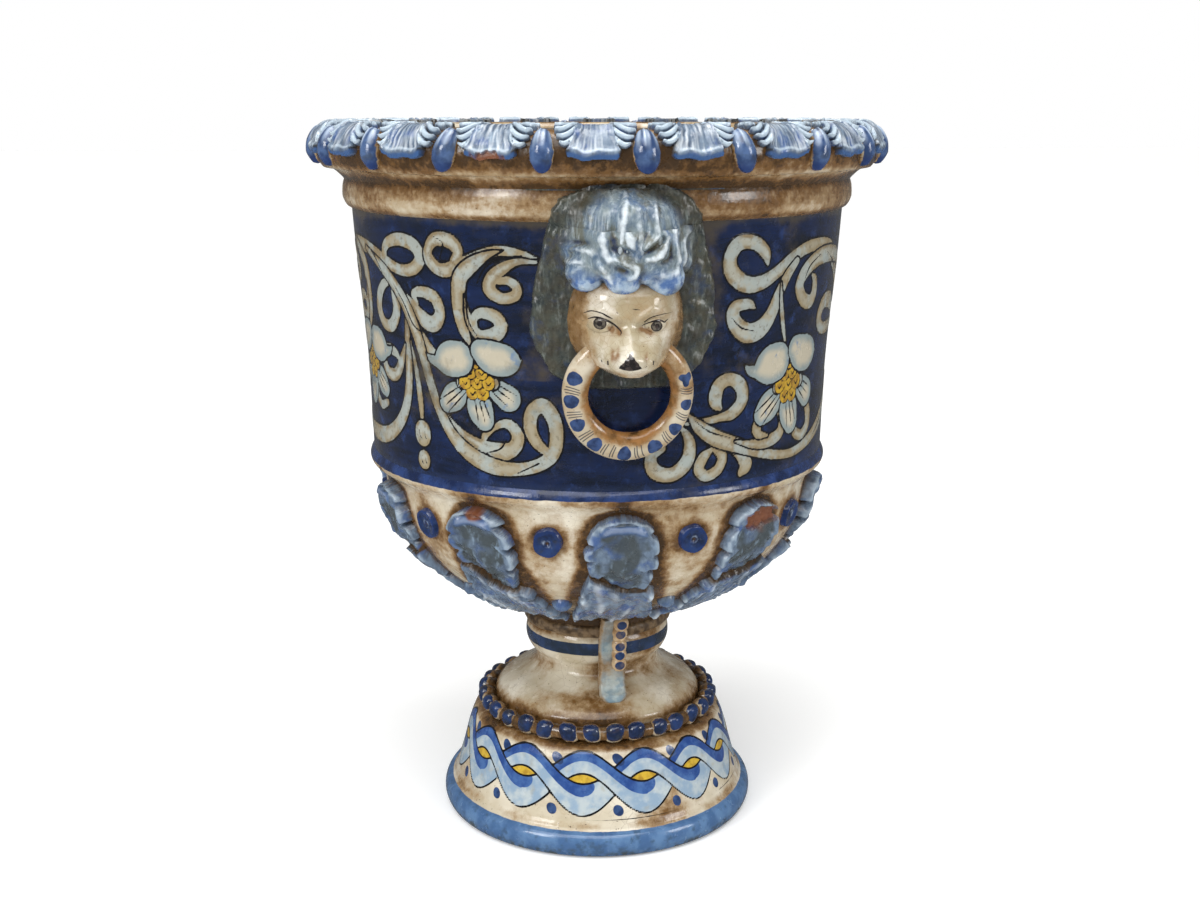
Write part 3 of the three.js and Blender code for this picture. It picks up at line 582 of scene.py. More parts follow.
def mane_glaze():
    """Mane: smeared grey, blue and brown in fine upright strands, painted highlights on the crests, painted
    shade in the hollows, blue lobes.
    """
    g = Glaze("mane_glaze")
    fine = g.noise(3.2, 5.0, stretch=(1, 1, 0.22), shift=6.0, rough=0.7)
    color = g.between(rgb(46, 54, 56), rgb(78, 82, 74), 0.36, 0.62, 12, 7.0, rough=0.7)
    color = g.mottle(color, rgb(52, 68, 94), 0.8, 0.52, 0.64, 16, 6.0, shift=3.0, rough=0.66)
    color = g.mottle(color, rgb(104, 98, 78), 0.6, 0.56, 0.7, 9, 6.0, shift=8.0, rough=0.68)
    color = g.blend(g.scaled(g.ramp(fine, 0.52, 0.72), 0.75), color, rgb(132, 140, 136))
    hair = g.between(rgb(88, 110, 132), rgb(130, 144, 148), 0.36, 0.64, 11, 5.0, shift=15.0)
    hair = g.mottle(hair, rgb(98, 98, 82), 0.8, 0.5, 0.64, 12, 5.0, shift=18.0)
    hair = g.mottle(hair, rgb(84, 116, 158), 0.7, 0.54, 0.66, 15, 4.0, shift=27.0)
    hair = g.blend(g.scaled(g.ramp(fine, 0.46, 0.7), 0.7), hair, rgb(186, 200, 208))
    color = g.blend(g.field("hair"), color, hair)
    lobe_blue = g.between(rgb(76, 112, 168), rgb(168, 190, 212), 0.4, 0.62, 7, 5.0, shift=21.0)
    lobe_blue = g.blend(g.scaled(g.ramp(fine, 0.5, 0.74), 0.6), lobe_blue, rgb(206, 218, 228))
    color = g.blend(g.field("lip"), color, lobe_blue)
    # Painted highlights on the crests of the locks and painted shade in their hollows.
    crest = g.shaken("crest", 1.3, 3.5, 4.0, centre=0.5, shift=41.0)
    color = g.blend(g.scaled(g.ramp(crest, 0.3, 1.15), 0.95), color, rgb(224, 234, 240))
    shade = g.between(rgb(46, 62, 96), rgb(76, 74, 58), 0.42, 0.58, 9, 3.0, shift=31.0)
    color = g.blend(g.ramp(g.field("crest"), -0.1, -0.85), color, shade)
    brown = g.patchy(g.field("dirt_and_shade"), 0.35, 0.65, 9, 4.0, shift=4.0)
    color = g.blend(brown, color, rgb(70, 62, 46))
    relief = g.math("ADD", g.scaled(fine, 0.9), g.noise(8, 3.0, shift=2.0))
    return g.done(color, rough_from(g, 0.14, 0.4), relief, 0.7)


def face_glaze():
    """Face: thick crazed cream glaze with painted eyes, brows and nose, brown dirt and painted shade in the
    hollows and on the sides, a painted highlight down the nose.
    """
    g = Glaze("face_glaze")
    base = g.between(rgb(170, 157, 128), rgb(222, 216, 201), 0.35, 0.7, 22, 3.0)
    color = stained_and_shaded(g, base, g.field("dirt_and_shade"), 0.7)
    # Warm brown where the dirt-and-shade field is high, so partly painted shade.
    warm = g.patchy(g.ramp(g.field("dirt_and_shade"), 0.25, 0.9), 0.35, 0.65, 6, 5.0, shift=17.0)
    color = g.blend(g.scaled(warm, 0.4), color, rgb(158, 128, 88))
    net = g.scaled(g.ramp(g.cracks(4.2), 0.05, 0.0), 0.42)
    color = g.blend(net, color, rgb(138, 118, 86))
    color = g.blend(g.scaled(g.ramp(g.field("umber"), 0.1, 0.85), 0.85), color, rgb(124, 86, 48))
    iris = g.between(rgb(52, 48, 42), rgb(98, 92, 82), 0.42, 0.6, 2, 3.0, shift=5.0)
    ink = g.between(rgb(34, 30, 30), rgb(70, 60, 56), 0.45, 0.7, 2.4, 3.0, shift=9.0)
    for name, fill in (("iris", iris), ("ink", ink)):
        color = g.blend(g.ramp(g.field(name), 0.16, -0.12), color, fill)
    return g.done(color, rough_from(g, 0.1, 0.28), g.noise(5, 3.0), 0.35, coat=0.6)


def ring_glaze():
    """Rings: cream glaze with deep blue spots and thin lines between them, orange brown inside the ring,
    painted shade where it runs under the muzzle.
    """
    g = Glaze("ring_glaze")
    base = g.between(rgb(186, 175, 152), rgb(212, 202, 182), 0.35, 0.7, 22, 3.0)
    color = stained_and_shaded(g, base, g.field("dirt_and_shade"), 0.8)
    warm = g.patchy(g.ramp(g.field("dirt_and_shade"), 0.2, 0.8), 0.3, 0.6, 5, 5.0, shift=17.0)
    color = g.blend(g.scaled(warm, 0.85), color, rgb(158, 112, 64))
    spot = g.between(rgb(34, 50, 84), rgb(58, 80, 124), 0.35, 0.65, 6, 4.0)
    color = g.blend(g.ramp(g.shaken("spot", 1.4, 4, 2.0, shift=3.0), 0.9, 0.6), color, spot)
    color = g.blend(g.scaled(g.ramp(g.field("line"), 0.2, -0.05), 0.85), color, rgb(56, 58, 66))
    return g.done(color, rough_from(g, 0.1, 0.3), g.noise(6, 3.0), 0.35, coat=0.5)


def strap_glaze():
    """Straps: pale grey-blue glaze with some brown, and cream with blue spots on the beaded rib."""
    g = Glaze("strap_glaze")
    color = g.between(rgb(170, 184, 184), rgb(124, 148, 160), 0.38, 0.62, 8, 4.0)
    rib = g.between(rgb(196, 170, 134), rgb(160, 124, 84), 0.35, 0.7, 6, 4.0, shift=3.0)
    color = g.blend(g.field("rib"), color, rib)
    spot = g.blend(g.noise(6, 4.0), rgb(26, 40, 68), rgb(48, 72, 116))
    color = g.blend(g.ramp(g.field("spot"), 0.25, -0.25), color, spot)
    color = stained_and_shaded(g, color, g.field("dirt_and_shade"), 0.35)
    return g.done(color, rough_from(g, 0.12, 0.32), g.noise(4, 3.0), 0.4)


def slip_glaze():
    """Slip of the joint: rough brown clay."""
    g = Glaze("slip_glaze")
    color = g.between(rgb(128, 104, 74), rgb(70, 52, 32), 0.36, 0.64, 5, 5.0)
    return g.done(color, rough_from(g, 0.3, 0.6), g.noise(3, 5.0), 0.8, coat=0.15)


def chain(*parts):
    """Profile parts joined into one line, each starting where the one before it ends."""
    return np.vstack([np.asarray(part, float)[:-1] for part in parts[:-1]] + [np.asarray(parts[-1], float)])


FOOT_RIM = spline([(106, 0), (108.6, 1.6), (110.4, 6), (110.2, 11), (108.2, 15.2), (105, 16.8)], 4)
FOOT_FILLET = spline([(105, 16.8), (103.6, 18), (102.6, 20), (101.4, 22.4)], 3)
BELL = spline([(101.4, 22.4), (96.2, 40), (93.4, 51.2), (90.6, 60), (88.4, 65.4)], 16)
LEDGE = spline([(88.4, 65.4), (85.5, 68), (81, 69.6), (76, 70), (74.2, 72), (73.4, 76), (72.5, 82.5)], 3)
SHOULDER = spline(
    [(72.5, 82.5), (68.4, 87.8), (61, 93), (54.5, 96), (48, 100), (44.6, 103.8), (43.5, 107)], 5)
KNOP = spline(
    [(43.5, 107), (44.4, 110.8), (47.3, 114.6), (49.8, 119.6), (50.6, 125), (49.6, 131), (46, 137.4)], 5)
FOOT_HOLLOW = [
    (0, 120.5), (18.9, 117.5), (27, 102.5), (36, 86.7), (63.5, 73.5), (79.5, 55), (90.5, 24), (92.5, 8),
    (96, 0)]

BOWL_FOOT = spline([(46, 137.9), (49.6, 141), (50.8, 145.5), (53, 150.4)], 5)
BOWL = arc(0, 243.5, 146, 100, -68.7, 0, 60)
MOULDING = spline(
    [(146, 243.5), (147.5, 248.3), (151, 251.6), (154.8, 254.4), (156, 257.9), (155, 261.3),
     (153.4, 263.5)], 5)
BAND = spline([(153.4, 263.5), (155.4, 327), (160.6, 391), (162.8, 423.5)], 60)
COLLAR = spline([(162.8, 423.5), (166, 425.5), (168.3, 430), (168.6, 434), (168.2, 438.5), (167.2, 442)], 4)
LIP_UNDER = spline([(167.2, 442), (169.5, 444.6), (174.6, 448.7), (180.3, 449.9)], 5)
LIP = arc(172.6, 461, 12, 14.5, -50, 80, 20)
LIP_TOP = spline([(174.7, 475.3), (162.1, 475.8), (154, 475.5), (150.6, 472.5)], 6)
FLOOR = arc(0, 243.5, 136, 90, 0, -72.9, 24)
BOWL_INSIDE = spline(
    [(150.6, 472.5), (150, 465.5), (152.4, 446), (152.8, 423.5), (149, 350), (143.4, 263.5),
     (136, 243.5)], 6)
BEHIND_BAND = [(150.6, 264.5), (151.9, 327), (157.2, 391), (159.6, 422.6)]

bowl_wall = Wall(chain(BOWL_FOOT, BOWL, MOULDING, BAND, COLLAR, LIP_UNDER, LIP, LIP_TOP))
band_wall = Wall(BAND)

# Brush strokes of the band: azimuth in degrees, height and half width in millimetres, and the paint in front
FLOWER_SCALES = [
    (-3.3, -9.5), (4.2, -9.5), (-8.5, -3.5), (0.3, -3), (8.3, -3), (-4.2, 3), (3.8, 3.2), (0, 9.5)]
FLOWER_STRIPED = [
    [(-22.6, -17.5, 7), (-16.5, -13, 9), (-10, -8, 5)],
    [(21.5, -11.5, 8.5), (16, -8, 7.5), (10, -4, 5)],
    [(4.4, -25.5, 7.5), (1.7, -19, 9.5), (0.5, -11, 7)],
]
FLOWER_PETALS = [
    [(-38.5, 11.5, 0.5), (-34, 8, 3), (-27.5, 7, 5), (-19, 9.5, 11.2), (-12.5, 10.5, 11.4)],
    [(30.6, 12, 0.8), (27.4, 11.6, 3.4), (19.6, 11.6, 10), (11.3, 13, 10.6), (4.2, 16.5, 7.4)],
]
LEFT_TOP = [
    [(-80, 403, 5), (-72, 402.5, 5), (-66, 399.5, 5), (-60, 395, 4.5), (-54, 391, 4), (-49.5, 392.5, 4.5),
     (-47, 399, 4.8), (-48.5, 406.5, 4.8), (-53, 409.5, 4.6), (-57.5, 407.5, 4), (-59.8, 403, 3.6),
     (-60, 398, 3)],
    [(-37.6, 399.6, 2.6), (-36.2, 404.5, 4), (-38, 410.5, 4.8), (-42, 411.5, 4.6), (-44.3, 405, 3.8),
     (-44, 398.5, 4.5), (-41.3, 393.5, 4.5), (-38, 394.5, 5), (-34.5, 398, 5), (-31, 402.5, 4.5),
     (-26.5, 406.5, 3.5), (-22, 405, 3), (-18.5, 402, 2)],
]
LEFT_MIRRORED = [
    [(-25.5, 407, 0.3), (-29, 404, 2.6), (-33, 397.6, 5), (-36, 390, 5.5), (-36.8, 380, 5.5),
     (-36.8, 368, 5), (-36, 358, 4), (-34.8, 351, 2)],
    [(-35.4, 380, 0.3), (-34.8, 368, 2.6), (-33.6, 360, 3.4), (-31.6, 355.5, 4.2), (-28.3, 357, 5),
     (-26.8, 362.5, 4.6), (-28.3, 368, 4.4), (-31.4, 369.4, 3.8), (-33.2, 366, 3), (-33.2, 361.5, 2.6)],
    [(-18.5, 400.5, 1.5), (-22.5, 400.5, 2.5), (-26, 396, 4), (-28.5, 390, 4.5), (-29, 383.5, 4.6),
     (-26.4, 378.8, 3.9), (-23.4, 380.5, 3.8), (-22.9, 385.5, 3.4), (-24.6, 389.2, 3), (-27, 388.6, 2.4)],
]
LEFT_STEMS = [
    [(-53.5, 362, 2), (-54, 345, 3.5), (-54.5, 325, 4), (-56, 308, 4.5), (-59, 295, 5), (-64, 285, 5.5),
     (-70, 280, 6), (-78, 279, 6), (-85, 281, 5), (-92, 287, 5), (-96, 297, 4.5), (-95, 309, 3.5),
     (-91, 313, 3), (-89.5, 304, 2)],
    [(-70, 401, 2), (-62, 391, 4), (-57, 381, 4.5), (-53.5, 370, 5), (-51, 357, 5), (-49, 342, 4.5),
     (-47.5, 328, 4), (-45, 310, 4), (-41, 293, 4.5), (-36, 282, 5.5), (-30, 276, 5.5), (-24, 275.5, 4.5),
     (-19, 279, 4.5), (-15.8, 286, 4.6), (-14.9, 297, 4.7), (-15.6, 308, 4.9), (-17.9, 315.5, 5),
     (-20.4, 311, 4.8), (-20.8, 301, 4.6), (-19.5, 293, 4), (-17.3, 287.5, 3)],
    [(-46, 322, 1), (-43, 305, 3), (-39, 294, 4.5), (-34, 287, 6), (-29, 285, 6.5), (-25, 288, 5),
     (-23.8, 296, 4.5), (-26, 303, 3.5), (-29, 301, 2.5), (-31.5, 296, 3), (-32.5, 290, 2)],
    [(-57, 381, 1.5), (-52, 372, 4), (-48, 363, 5.5), (-44.5, 360, 5.5), (-42.3, 367, 4.5),
     (-43.5, 376, 4.5), (-47, 379, 4), (-50, 377, 3), (-49, 371, 1.5)],
    [(-51, 362, 3), (-48.5, 350, 4.5), (-46, 343, 4), (-43, 342, 0.5)],
    [(-58.5, 386, 1), (-57.3, 375, 4.2), (-57.3, 364, 4.5), (-60, 355, 4.6), (-63.6, 355, 4.3),
     (-65.6, 363, 4.3), (-64.6, 373, 4.2), (-62, 380, 3.6), (-59.8, 382, 2.6)],
    [(-55, 345, 1), (-57, 334, 3.5), (-60, 324, 4.5), (-64, 323.5, 4.5), (-66, 331, 4), (-64, 338.5, 4),
     (-60, 338, 3.5), (-58, 334, 2)],
    [(-66, 303, 3), (-70, 300, 3.5), (-73, 306, 3.5), (-71.5, 313, 3.5), (-67.5, 313, 3), (-66, 307, 2.5)],
    [(-52.8, 348, 0.8), (-51.7, 332, 2.2), (-50.8, 312, 3), (-50.5, 298, 2)],
]
LEFT_BEADS = [[(-50.5, 290.6, 8), (-50.5, 289, 8)], [(-50.4, 273.4, 6.2), (-50.4, 272.4, 6.2)]]
LEFT_LINES = [
    [(-21.5, 404, 0.4), (-25.4, 402.5, 0.6), (-29.6, 397, 0.6), (-32, 387, 0.4)],
    [(-35, 382, 0.3), (-35, 373, 0.6), (-34.5, 363, 0.6), (-32.6, 355, 0.4)],
    [(-57.4, 382, 0.4), (-53.8, 370, 0.6), (-50.8, 357, 0.6), (-46, 353, 0.4)],
    [(-68, 402, 0.4), (-65, 396, 0.6), (-62, 388, 0.4)],
    [(-47.5, 337, 0.4), (-45, 333, 0.4)],
    [(-24, 273, 0.4), (-19, 280, 0.6)],
    [(-51.6, 292, 0.3), (-51.5, 288, 0.5), (-50.9, 286.4, 0.3)],
    [(-49.8, 292.4, 0.3), (-49.7, 288, 0.5), (-49.2, 286.8, 0.3)],
    [(-51.3, 274.6, 0.3), (-51.1, 271.4, 0.5), (-50.6, 270.4, 0.3)],
    [(-49.9, 274.8, 0.3), (-49.7, 271.6, 0.5), (-49.2, 270.8, 0.3)],
    [(-42.5, 413, 0.3), (-40, 409, 0.5), (-41, 400, 0.5), (-38, 399, 0.3)],
    [(-31.5, 284, 0.3), (-28, 287.5, 0.6), (-26.5, 294, 0.3)],
]
RIGHT_STEMS = [
    [(33.2, 396, 1.5), (32.3, 403, 4.2), (29, 409.5, 4.5), (24.8, 409.5, 5), (22.8, 401, 5),
     (23.8, 391.5, 5.5), (27.5, 385, 5.5), (32, 385.5, 5), (36.5, 391, 4.5), (41, 398, 4.5), (46, 403, 4.5),
     (52, 404.5, 4.5), (58, 402, 5.5), (63, 396, 6.5), (68, 388, 7), (73, 378, 7), (77, 366, 6)],
    [(30.5, 370, 1), (28.5, 373, 3.5), (24.8, 371.5, 4.5), (25, 363, 5.5), (28.5, 355.5, 6.5),
     (32.5, 357, 6.5), (35.5, 365, 5.5), (37.5, 377, 4.5), (40, 388, 4), (43, 396, 3)],
    [(38, 384, 1), (38.7, 372, 2), (39.8, 360, 2.3), (41, 350, 1.8), (42, 344, 1)],
    [(75, 385, 3), (68, 394, 5), (60, 397, 6), (53, 396, 6), (47.5, 390, 5.5), (45, 381, 5), (47, 372, 5),
     (50.5, 369, 5), (52.3, 374, 4.5), (52, 382, 3.5), (50.5, 386, 1.5)],
    [(72, 350, 4), (66, 348, 4.5), (60, 349.5, 4.5), (57.5, 357, 5), (60, 366, 5.5), (65, 366, 6),
     (69, 362, 5)],
    [(14, 303, 1.5), (18, 303.5, 2.5), (22.5, 305, 3), (26, 307, 4.5), (28.5, 314, 5), (28, 323, 5),
     (25, 328, 4.5), (22, 325, 5), (21.2, 316, 5), (22.5, 310.5, 2)],
    [(14.5, 309, 1), (17.5, 300, 4.5), (22, 292, 5.5), (28, 286, 5), (34, 280, 4), (40, 275.5, 3.5),
     (47, 273.5, 3.5), (54, 276, 4), (61, 281, 5), (67, 288, 6), (72, 298, 6), (76, 310, 5)],
    [(27, 289, 1), (32, 285.5, 3), (37, 285, 4.5), (41.5, 288.5, 4.5), (42.3, 296, 3.5), (41, 302, 2)],
    [(35, 300, 3), (33.5, 296, 4.5), (34, 291, 3.5), (37, 289, 1.5)],
    [(47.5, 292, 3), (48.5, 286, 4), (52, 283, 4), (55, 288, 4.5), (55, 297, 4.5), (53, 305, 3)],
    [(15.5, 308, 1), (18, 296, 1.5), (21, 288, 3), (23.5, 281, 4), (22.5, 273, 4), (19.5, 269.5, 4),
     (17.5, 274, 4), (18.5, 281, 4), (20.5, 285.5, 2)],
    [(20, 297, 1), (24, 289, 2.5), (28, 281, 3.5), (30.5, 273.5, 5.5), (29, 268.5, 3)],
    [(12.5, 303, 1), (15, 292, 4), (14.5, 280, 5), (11, 272.5, 5), (7, 275, 5), (6, 284, 4), (8.5, 289, 3)],
]
RIGHT_LINES = [
    [(58, 399, 0.3), (64, 391, 0.6), (69, 381, 0.4)],
    [(54, 398, 0.3), (49, 392, 0.6), (47, 384, 0.3)],
    [(24, 366, 0.3), (27, 359, 0.6), (31, 356, 0.3)],
    [(16, 305, 0.3), (20, 297, 0.6), (26, 291, 0.3)],
    [(60, 279, 0.3), (66, 286, 0.6), (70, 294, 0.3)],
]
BAND_DEGREE = 2.757  # millimetres along the band for a degree


def flower(azimuth, z, scale):
    """The four-petalled flower with its scales, as layers of paint; a negative scale mirrors it."""
    size = abs(scale)
    centre = np.array([azimuth * BAND_DEGREE, z, 0])
    factor = np.array([scale, size, size])
    layers = []
    for petal in FLOWER_STRIPED:
        path = centre + np.array(petal) * factor
        layers.append(("white", path))
        way = path[0, :2] - path[-1, :2]
        way /= np.linalg.norm(way)
        side = np.array([-way[1], way[0]])
        for offset in (-0.5, 0.05, 0.55):
            start = path[-1, :2] + side * offset * 5 * size
            stop = path[0, :2] + side * offset * 9 * size + way * 3.5 * size
            layers.append(("ink", [(*start, 0.25), (*(0.5 * (start + stop)), 0.55), (*stop, 0.2)]))
    for x, y, r in ((-11, -4, 4), (12, -3, 4)):
        layers.append(("light", centre + np.array([[x, y, r]]) * factor))
    for x, y in FLOWER_SCALES:
        layers.append(("yellow", centre + np.array([[x, y, 4.6]]) * factor))
        tick = np.array([[x - 2, y + 0.5, 0.3], [x, y - 1.6, 0.5], [x + 2, y + 0.6, 0.3]])
        layers.append(("ink", centre + tick * factor))
    for petal in FLOWER_PETALS:
        layers.append(("white", centre + np.array(petal) * factor))
    return layers


def moved(strokes, kind, shift=0.0, mirror=None):
    """Strokes given by azimuth as layers of one paint, in millimetres, shifted and maybe mirrored."""
    layers = []
    for stroke in strokes:
        path = np.array(stroke, float)
        if mirror is not None:
            path[:, 0] = 2 * mirror - path[:, 0]
        path[:, 0] = (path[:, 0] + shift) * BAND_DEGREE
        layers.append((kind, path))
    return layers


def left_motif(shift):
    """Scrolls, beads and two flowers to the left of a mask, as layers of paint."""
    axis = -54.3
    layers = moved(LEFT_TOP, "light", shift)
    layers += moved(LEFT_MIRRORED, "light", shift, axis) + moved(LEFT_MIRRORED, "light", shift)
    layers += moved(LEFT_STEMS[:1], "light", shift) + moved(LEFT_STEMS[2:], "light", shift)
    layers += moved(LEFT_STEMS[1:2], "light", shift) + moved(LEFT_BEADS, "light", shift)
    layers += moved(LEFT_LINES, "ink", shift)
    return layers + flower(-33.6 + shift, 330, 1.0) + flower(-75 + shift, 330, -1.0)


def right_motif(shift):
    """Scrolls and a flower to the right of a mask, as layers of paint."""
    layers = moved(RIGHT_STEMS[:6], "light", shift)
    layers += moved(RIGHT_STEMS[10:], "light", shift) + moved(RIGHT_STEMS[6:10], "light", shift)
    return layers + moved(RIGHT_LINES, "ink", shift) + flower(44.3 + shift, 323, 1.12)


def lobe(xs, ys, points, steps=6):
    """Height from 0 to 1 of a ridge along a tapered stroke, round in section."""
    path = smooth_path(points, steps)
    height = np.zeros((len(ys), len(xs)))
    gx, gy = np.meshgrid(xs, ys)
    for a, b in zip(path, path[1:]):
        away, _, half = from_segment(gx, gy, a, b)
        ratio = away / np.maximum(half, 0.1)
        height = np.maximum(height, np.sqrt(np.clip(1 - ratio**2, 0, None)))
    return height


def lobes(xs, ys, strokes, mirror=False):
    """The highest of several ridges."""
    total = np.zeros((len(ys), len(xs)))
    for stroke in strokes:
        path = np.array(stroke, float) * ([-1, 1, 1] if mirror else [1, 1, 1])
        total = np.maximum(total, lobe(xs, ys, path))
    return total


LEAF_HEIGHTS = [155, 162, 185, 203, 212, 225, 240, 247, 251]
LEAF_WIDTHS = [25, 27, 28, 25, 22, 24, 20, 13, 0]


def axis_dirt(points, seed):
    """Wandering of the dirt-and-shade field, from -0.3 to 0.3."""
    return 0.3 * wave(points, 60, seed, 4)


def bowl_dirt_and_shade(points):
    """Dirt and painted shade of the bowl: darker in the hollow of the lip, round the leaves and studs, and
    towards the bottom outside and inside.
    """
    r, z, azimuth = np.hypot(points[:, 0], points[:, 1]), points[:, 2], azimuth_of(points)
    shell = np.hypot(r / 141, (243.5 - z) / 95) > 1
    limit = np.interp(z, [243.5, 263.5, 423.5, 446], [141, 147, 154, 152.9])
    outside = np.where(z < 243.5, shell, r > limit)
    wander = axis_dirt(points, 3)
    dirt_and_shade = 0.1 + wander + 0.2 * rise(z, 424, 426) - 0.08 * rise(z, 262, 252)
    dirt_and_shade += 1.1 * bump(z - 443.6, 3.6) + 0.25 * bump(z - 436, 5) + 0.6 * bump(z - 424.6, 1.8)
    dirt_and_shade += rise(z, 449, 455) * rise(z, 474, 468) * (0.78 + 0.5 * wander)
    dirt_and_shade += 0.5 * rise(r, 158, 172) * rise(z, 473, 475)
    from_drop = np.abs(period(azimuth - RIM_START - RIM_PITCH / 2, RIM_PITCH)) * r / 57.3
    dirt_and_shade += 0.45 * rise(z, 452, 462) * bump(from_drop - 9, 3)
    leaf = np.radians(np.abs(period(azimuth, LEAF_PITCH))) * r
    lower = rise(z, 262, 250)
    half = np.interp(z, LEAF_HEIGHTS, LEAF_WIDTHS)
    beside = np.maximum(leaf - half, 0.0)
    dirt_and_shade += lower * (1.35 * bump(beside, 4.2) + 0.12 * bump(beside, 12) * (0.6 + wander))
    dirt_and_shade += 1.3 * rise(z, 174, 158) + 0.3 * bump(z - 250, 4) * (1 + 2 * wander)
    stud = period(azimuth - LEAF_PITCH / 2, LEAF_PITCH)
    ring = np.hypot(np.radians(stud) * r, (z - 228) * 1.15)
    above = 0.6 + 0.4 * rise(z, 224, 236)
    dirt_and_shade += (z < 255) * above * 1.0 * bump(np.maximum(ring - 10, 0), 4.0)
    dirt_and_shade += 0.25 * bump(z - 256, 2.5)
    return np.where(outside, dirt_and_shade, 0.12 + 0.2 * rise(z, 260, 170) + axis_dirt(points, 4))


def foot_fields(points):
    """Painted plait, drops, rim, and dirt with painted shade of the foot as distance fields in millimetres.
    """
    r, z, azimuth = np.hypot(points[:, 0], points[:, 1]), points[:, 2], azimuth_of(points)
    far = np.full(len(points), FAR)
    turn = azimuth - 2.6 * np.sin(np.radians(2 * (azimuth + 20)))
    fields = {name: far.copy() for name in ("body", "mid", "eye", "drop", "ink")}
    outer = (r > 86) & (z < 71) & (z > 18)
    for k in range(PLAIT_COUNT):
        v = period(turn + 12.5 - PLAIT_PITCH * k, 360)
        a = np.pi * v / PLAIT_PITCH
        upper, border, lower = 56.7 + 10.3 * np.cos(a), 49.5 + 11.5 * np.cos(a), 39.5 + 13.5 * np.cos(a)
        upper_before, lower_after = 56.7 - 10.3 * np.cos(a), 39.5 - 13.5 * np.cos(a)
        flat_upper = 1 / np.hypot(1, 0.82 * np.sin(a))
        flat_lower = 1 / np.hypot(1, 1.08 * np.sin(a))
        near = (v > -13) & (v < 37)
        floor = np.where(v < -5.8, upper_before, lower)
        roof = np.where(v > 29.8, np.minimum(upper, lower_after), upper)
        body = np.maximum((z - roof) * flat_upper, (floor - z) * flat_lower)
        body = np.maximum(body, np.abs(v - 12) * 1.64 - 24 * 1.64)
        fields["body"] = np.where(near, np.minimum(fields["body"], body), fields["body"])
        end = np.hypot((v - 24.5) * 1.64, (z - 44.5) * 1.1) - 6.4
        stripe = np.maximum(body, (border - z) * flat_lower)
        stripe = np.where(v > 24.5, np.maximum(body + 0.6, end), stripe)
        fields["mid"] = np.where(near, np.minimum(fields["mid"], stripe), fields["mid"])
        eye = np.maximum((z - lower) * flat_lower, (upper_before - z) * flat_upper)
        fields["eye"] = np.where(np.abs(v) < 6, np.minimum(fields["eye"], eye + 0.1), fields["eye"])
        top_line = np.maximum(np.abs(z - upper) * flat_upper - 0.62, (np.abs(v - 8.9) - 20.9) * 1.64)
        low_line = np.maximum(np.abs(z - lower) * flat_lower - 0.62, (np.abs(v - 14.9) - 20.7) * 1.64)
        line = np.where((v > -18) & (v < 42), np.minimum(top_line, low_line), FAR)
        fields["ink"] = np.minimum(fields["ink"], line)
        drop = np.hypot((v - 12.5 + 0.25 * (z - 66.5)) * 1.6 / 3.5, (z - 61.6) / 3.9)
        small = np.hypot((v - 13 + 0.1 * (z - 29)) * 1.64 / 3.1, (z - 29.3) / 3.6)
        drop = 3.2 * (np.minimum(drop, small) - 1)
        fields["drop"] = np.where((v > 4) & (v < 22), np.minimum(fields["drop"], drop), fields["drop"])
    wander = 0.5 * wave(points, 90, 21, 2)
    line = np.maximum(np.abs(z - 23.4 - wander) - 0.3, 0.25 - 0.9 * wave(points, 70, 22, 1))
    fields["ink"] = np.minimum(fields["ink"], line)
    for name in fields:
        fields[name] = np.where(outer, fields[name], FAR)
    fields["rim"] = np.where(r > 97, z - 17.0, FAR)
    fields["low"] = z + 2 * wave(points, 25, 23, 3)
    stripe = np.abs(z - 124.6 - 0.6 * wave(points, 70, 24, 1)) - 4.4
    beside_strap = 9.2 - np.abs(period(azimuth - 8, 180))
    fields["knop"] = np.where(r > 40, np.maximum(stripe, beside_strap), FAR)
    wander = axis_dirt(points, 5)
    # Dirt and painted shade: darker by the beads, about the straps, round the neck and the top of the knop,
    # and in the hollow.
    dirt_and_shade = wander + 1.0 * bump(z - 74, 6) * (r > 70) * (r < 88)
    front = np.abs(period(azimuth - 3, 180))
    on_shoulder = 0.5 * bump(front, 17) * (0.8 + wander) + 0.75 * bump(z - 78.5, 5.5)
    dirt_and_shade += rise(z, 76, 82) * rise(z, 126, 112) * on_shoulder
    dirt_and_shade += 0.6 * rise(z, 127, 136) + 0.35 * rise(z, 117, 111) * rise(z, 98, 106) + 0.08 * (z > 117)
    dirt_and_shade += 0.5 * bump(z - 69, 4) * (r > 80) * (0.7 + 2 * wander) + 0.25 * bump(z - 19.5, 2.5) * (r > 95)
    hollow = (r < 44) & (z < 122) & (z > 118) | (r < foot_inner(z))
    fields["dirt_and_shade"] = np.where(hollow, 0.55 + axis_dirt(points, 6), dirt_and_shade)
    return fields


def foot_inner(z):
    """Radius of the hollow under the foot, a little enlarged."""
    line = np.array(FOOT_HOLLOW)[::-1]
    return np.interp(z, line[:, 1], line[:, 0]) + 0.5


def blurred(height, reach):
    """Mean of each point's square neighbourhood, reach points to each side."""
    rows, columns = height.shape
    padded = np.pad(height, reach, mode="edge")
    total = np.zeros_like(height)
    for i in range(2 * reach + 1):
        for j in range(2 * reach + 1):
            total += padded[i:i + rows, j:j + columns]
    return total / (2 * reach + 1) ** 2


def crest_of(height, reach, depth):
    """Ridges as 1 and hollows as -1, from the height over its surroundings."""
    return np.clip((height - blurred(height, reach)) / depth, -1.2, 1.2)


def both(front, behind_rows=BACK_ROWS, behind=0.0):
    """A field of a relief's front grid, followed by a constant for the back rows."""
    return np.concatenate([front, np.full((behind_rows, front.shape[1]), behind)]).ravel()


def laid(name, node, material, azimuth, xs, ys, height, fields):
    """A relief on the bowl's wall as a shown piece; its fields are grids like the height, or constants."""
    body = bowl_wall.relief(azimuth, xs, ys, height)
    fields = {field: both(np.broadcast_to(values, height.shape)) for field, values in fields.items()}
    make(name, body, material, node, fields)


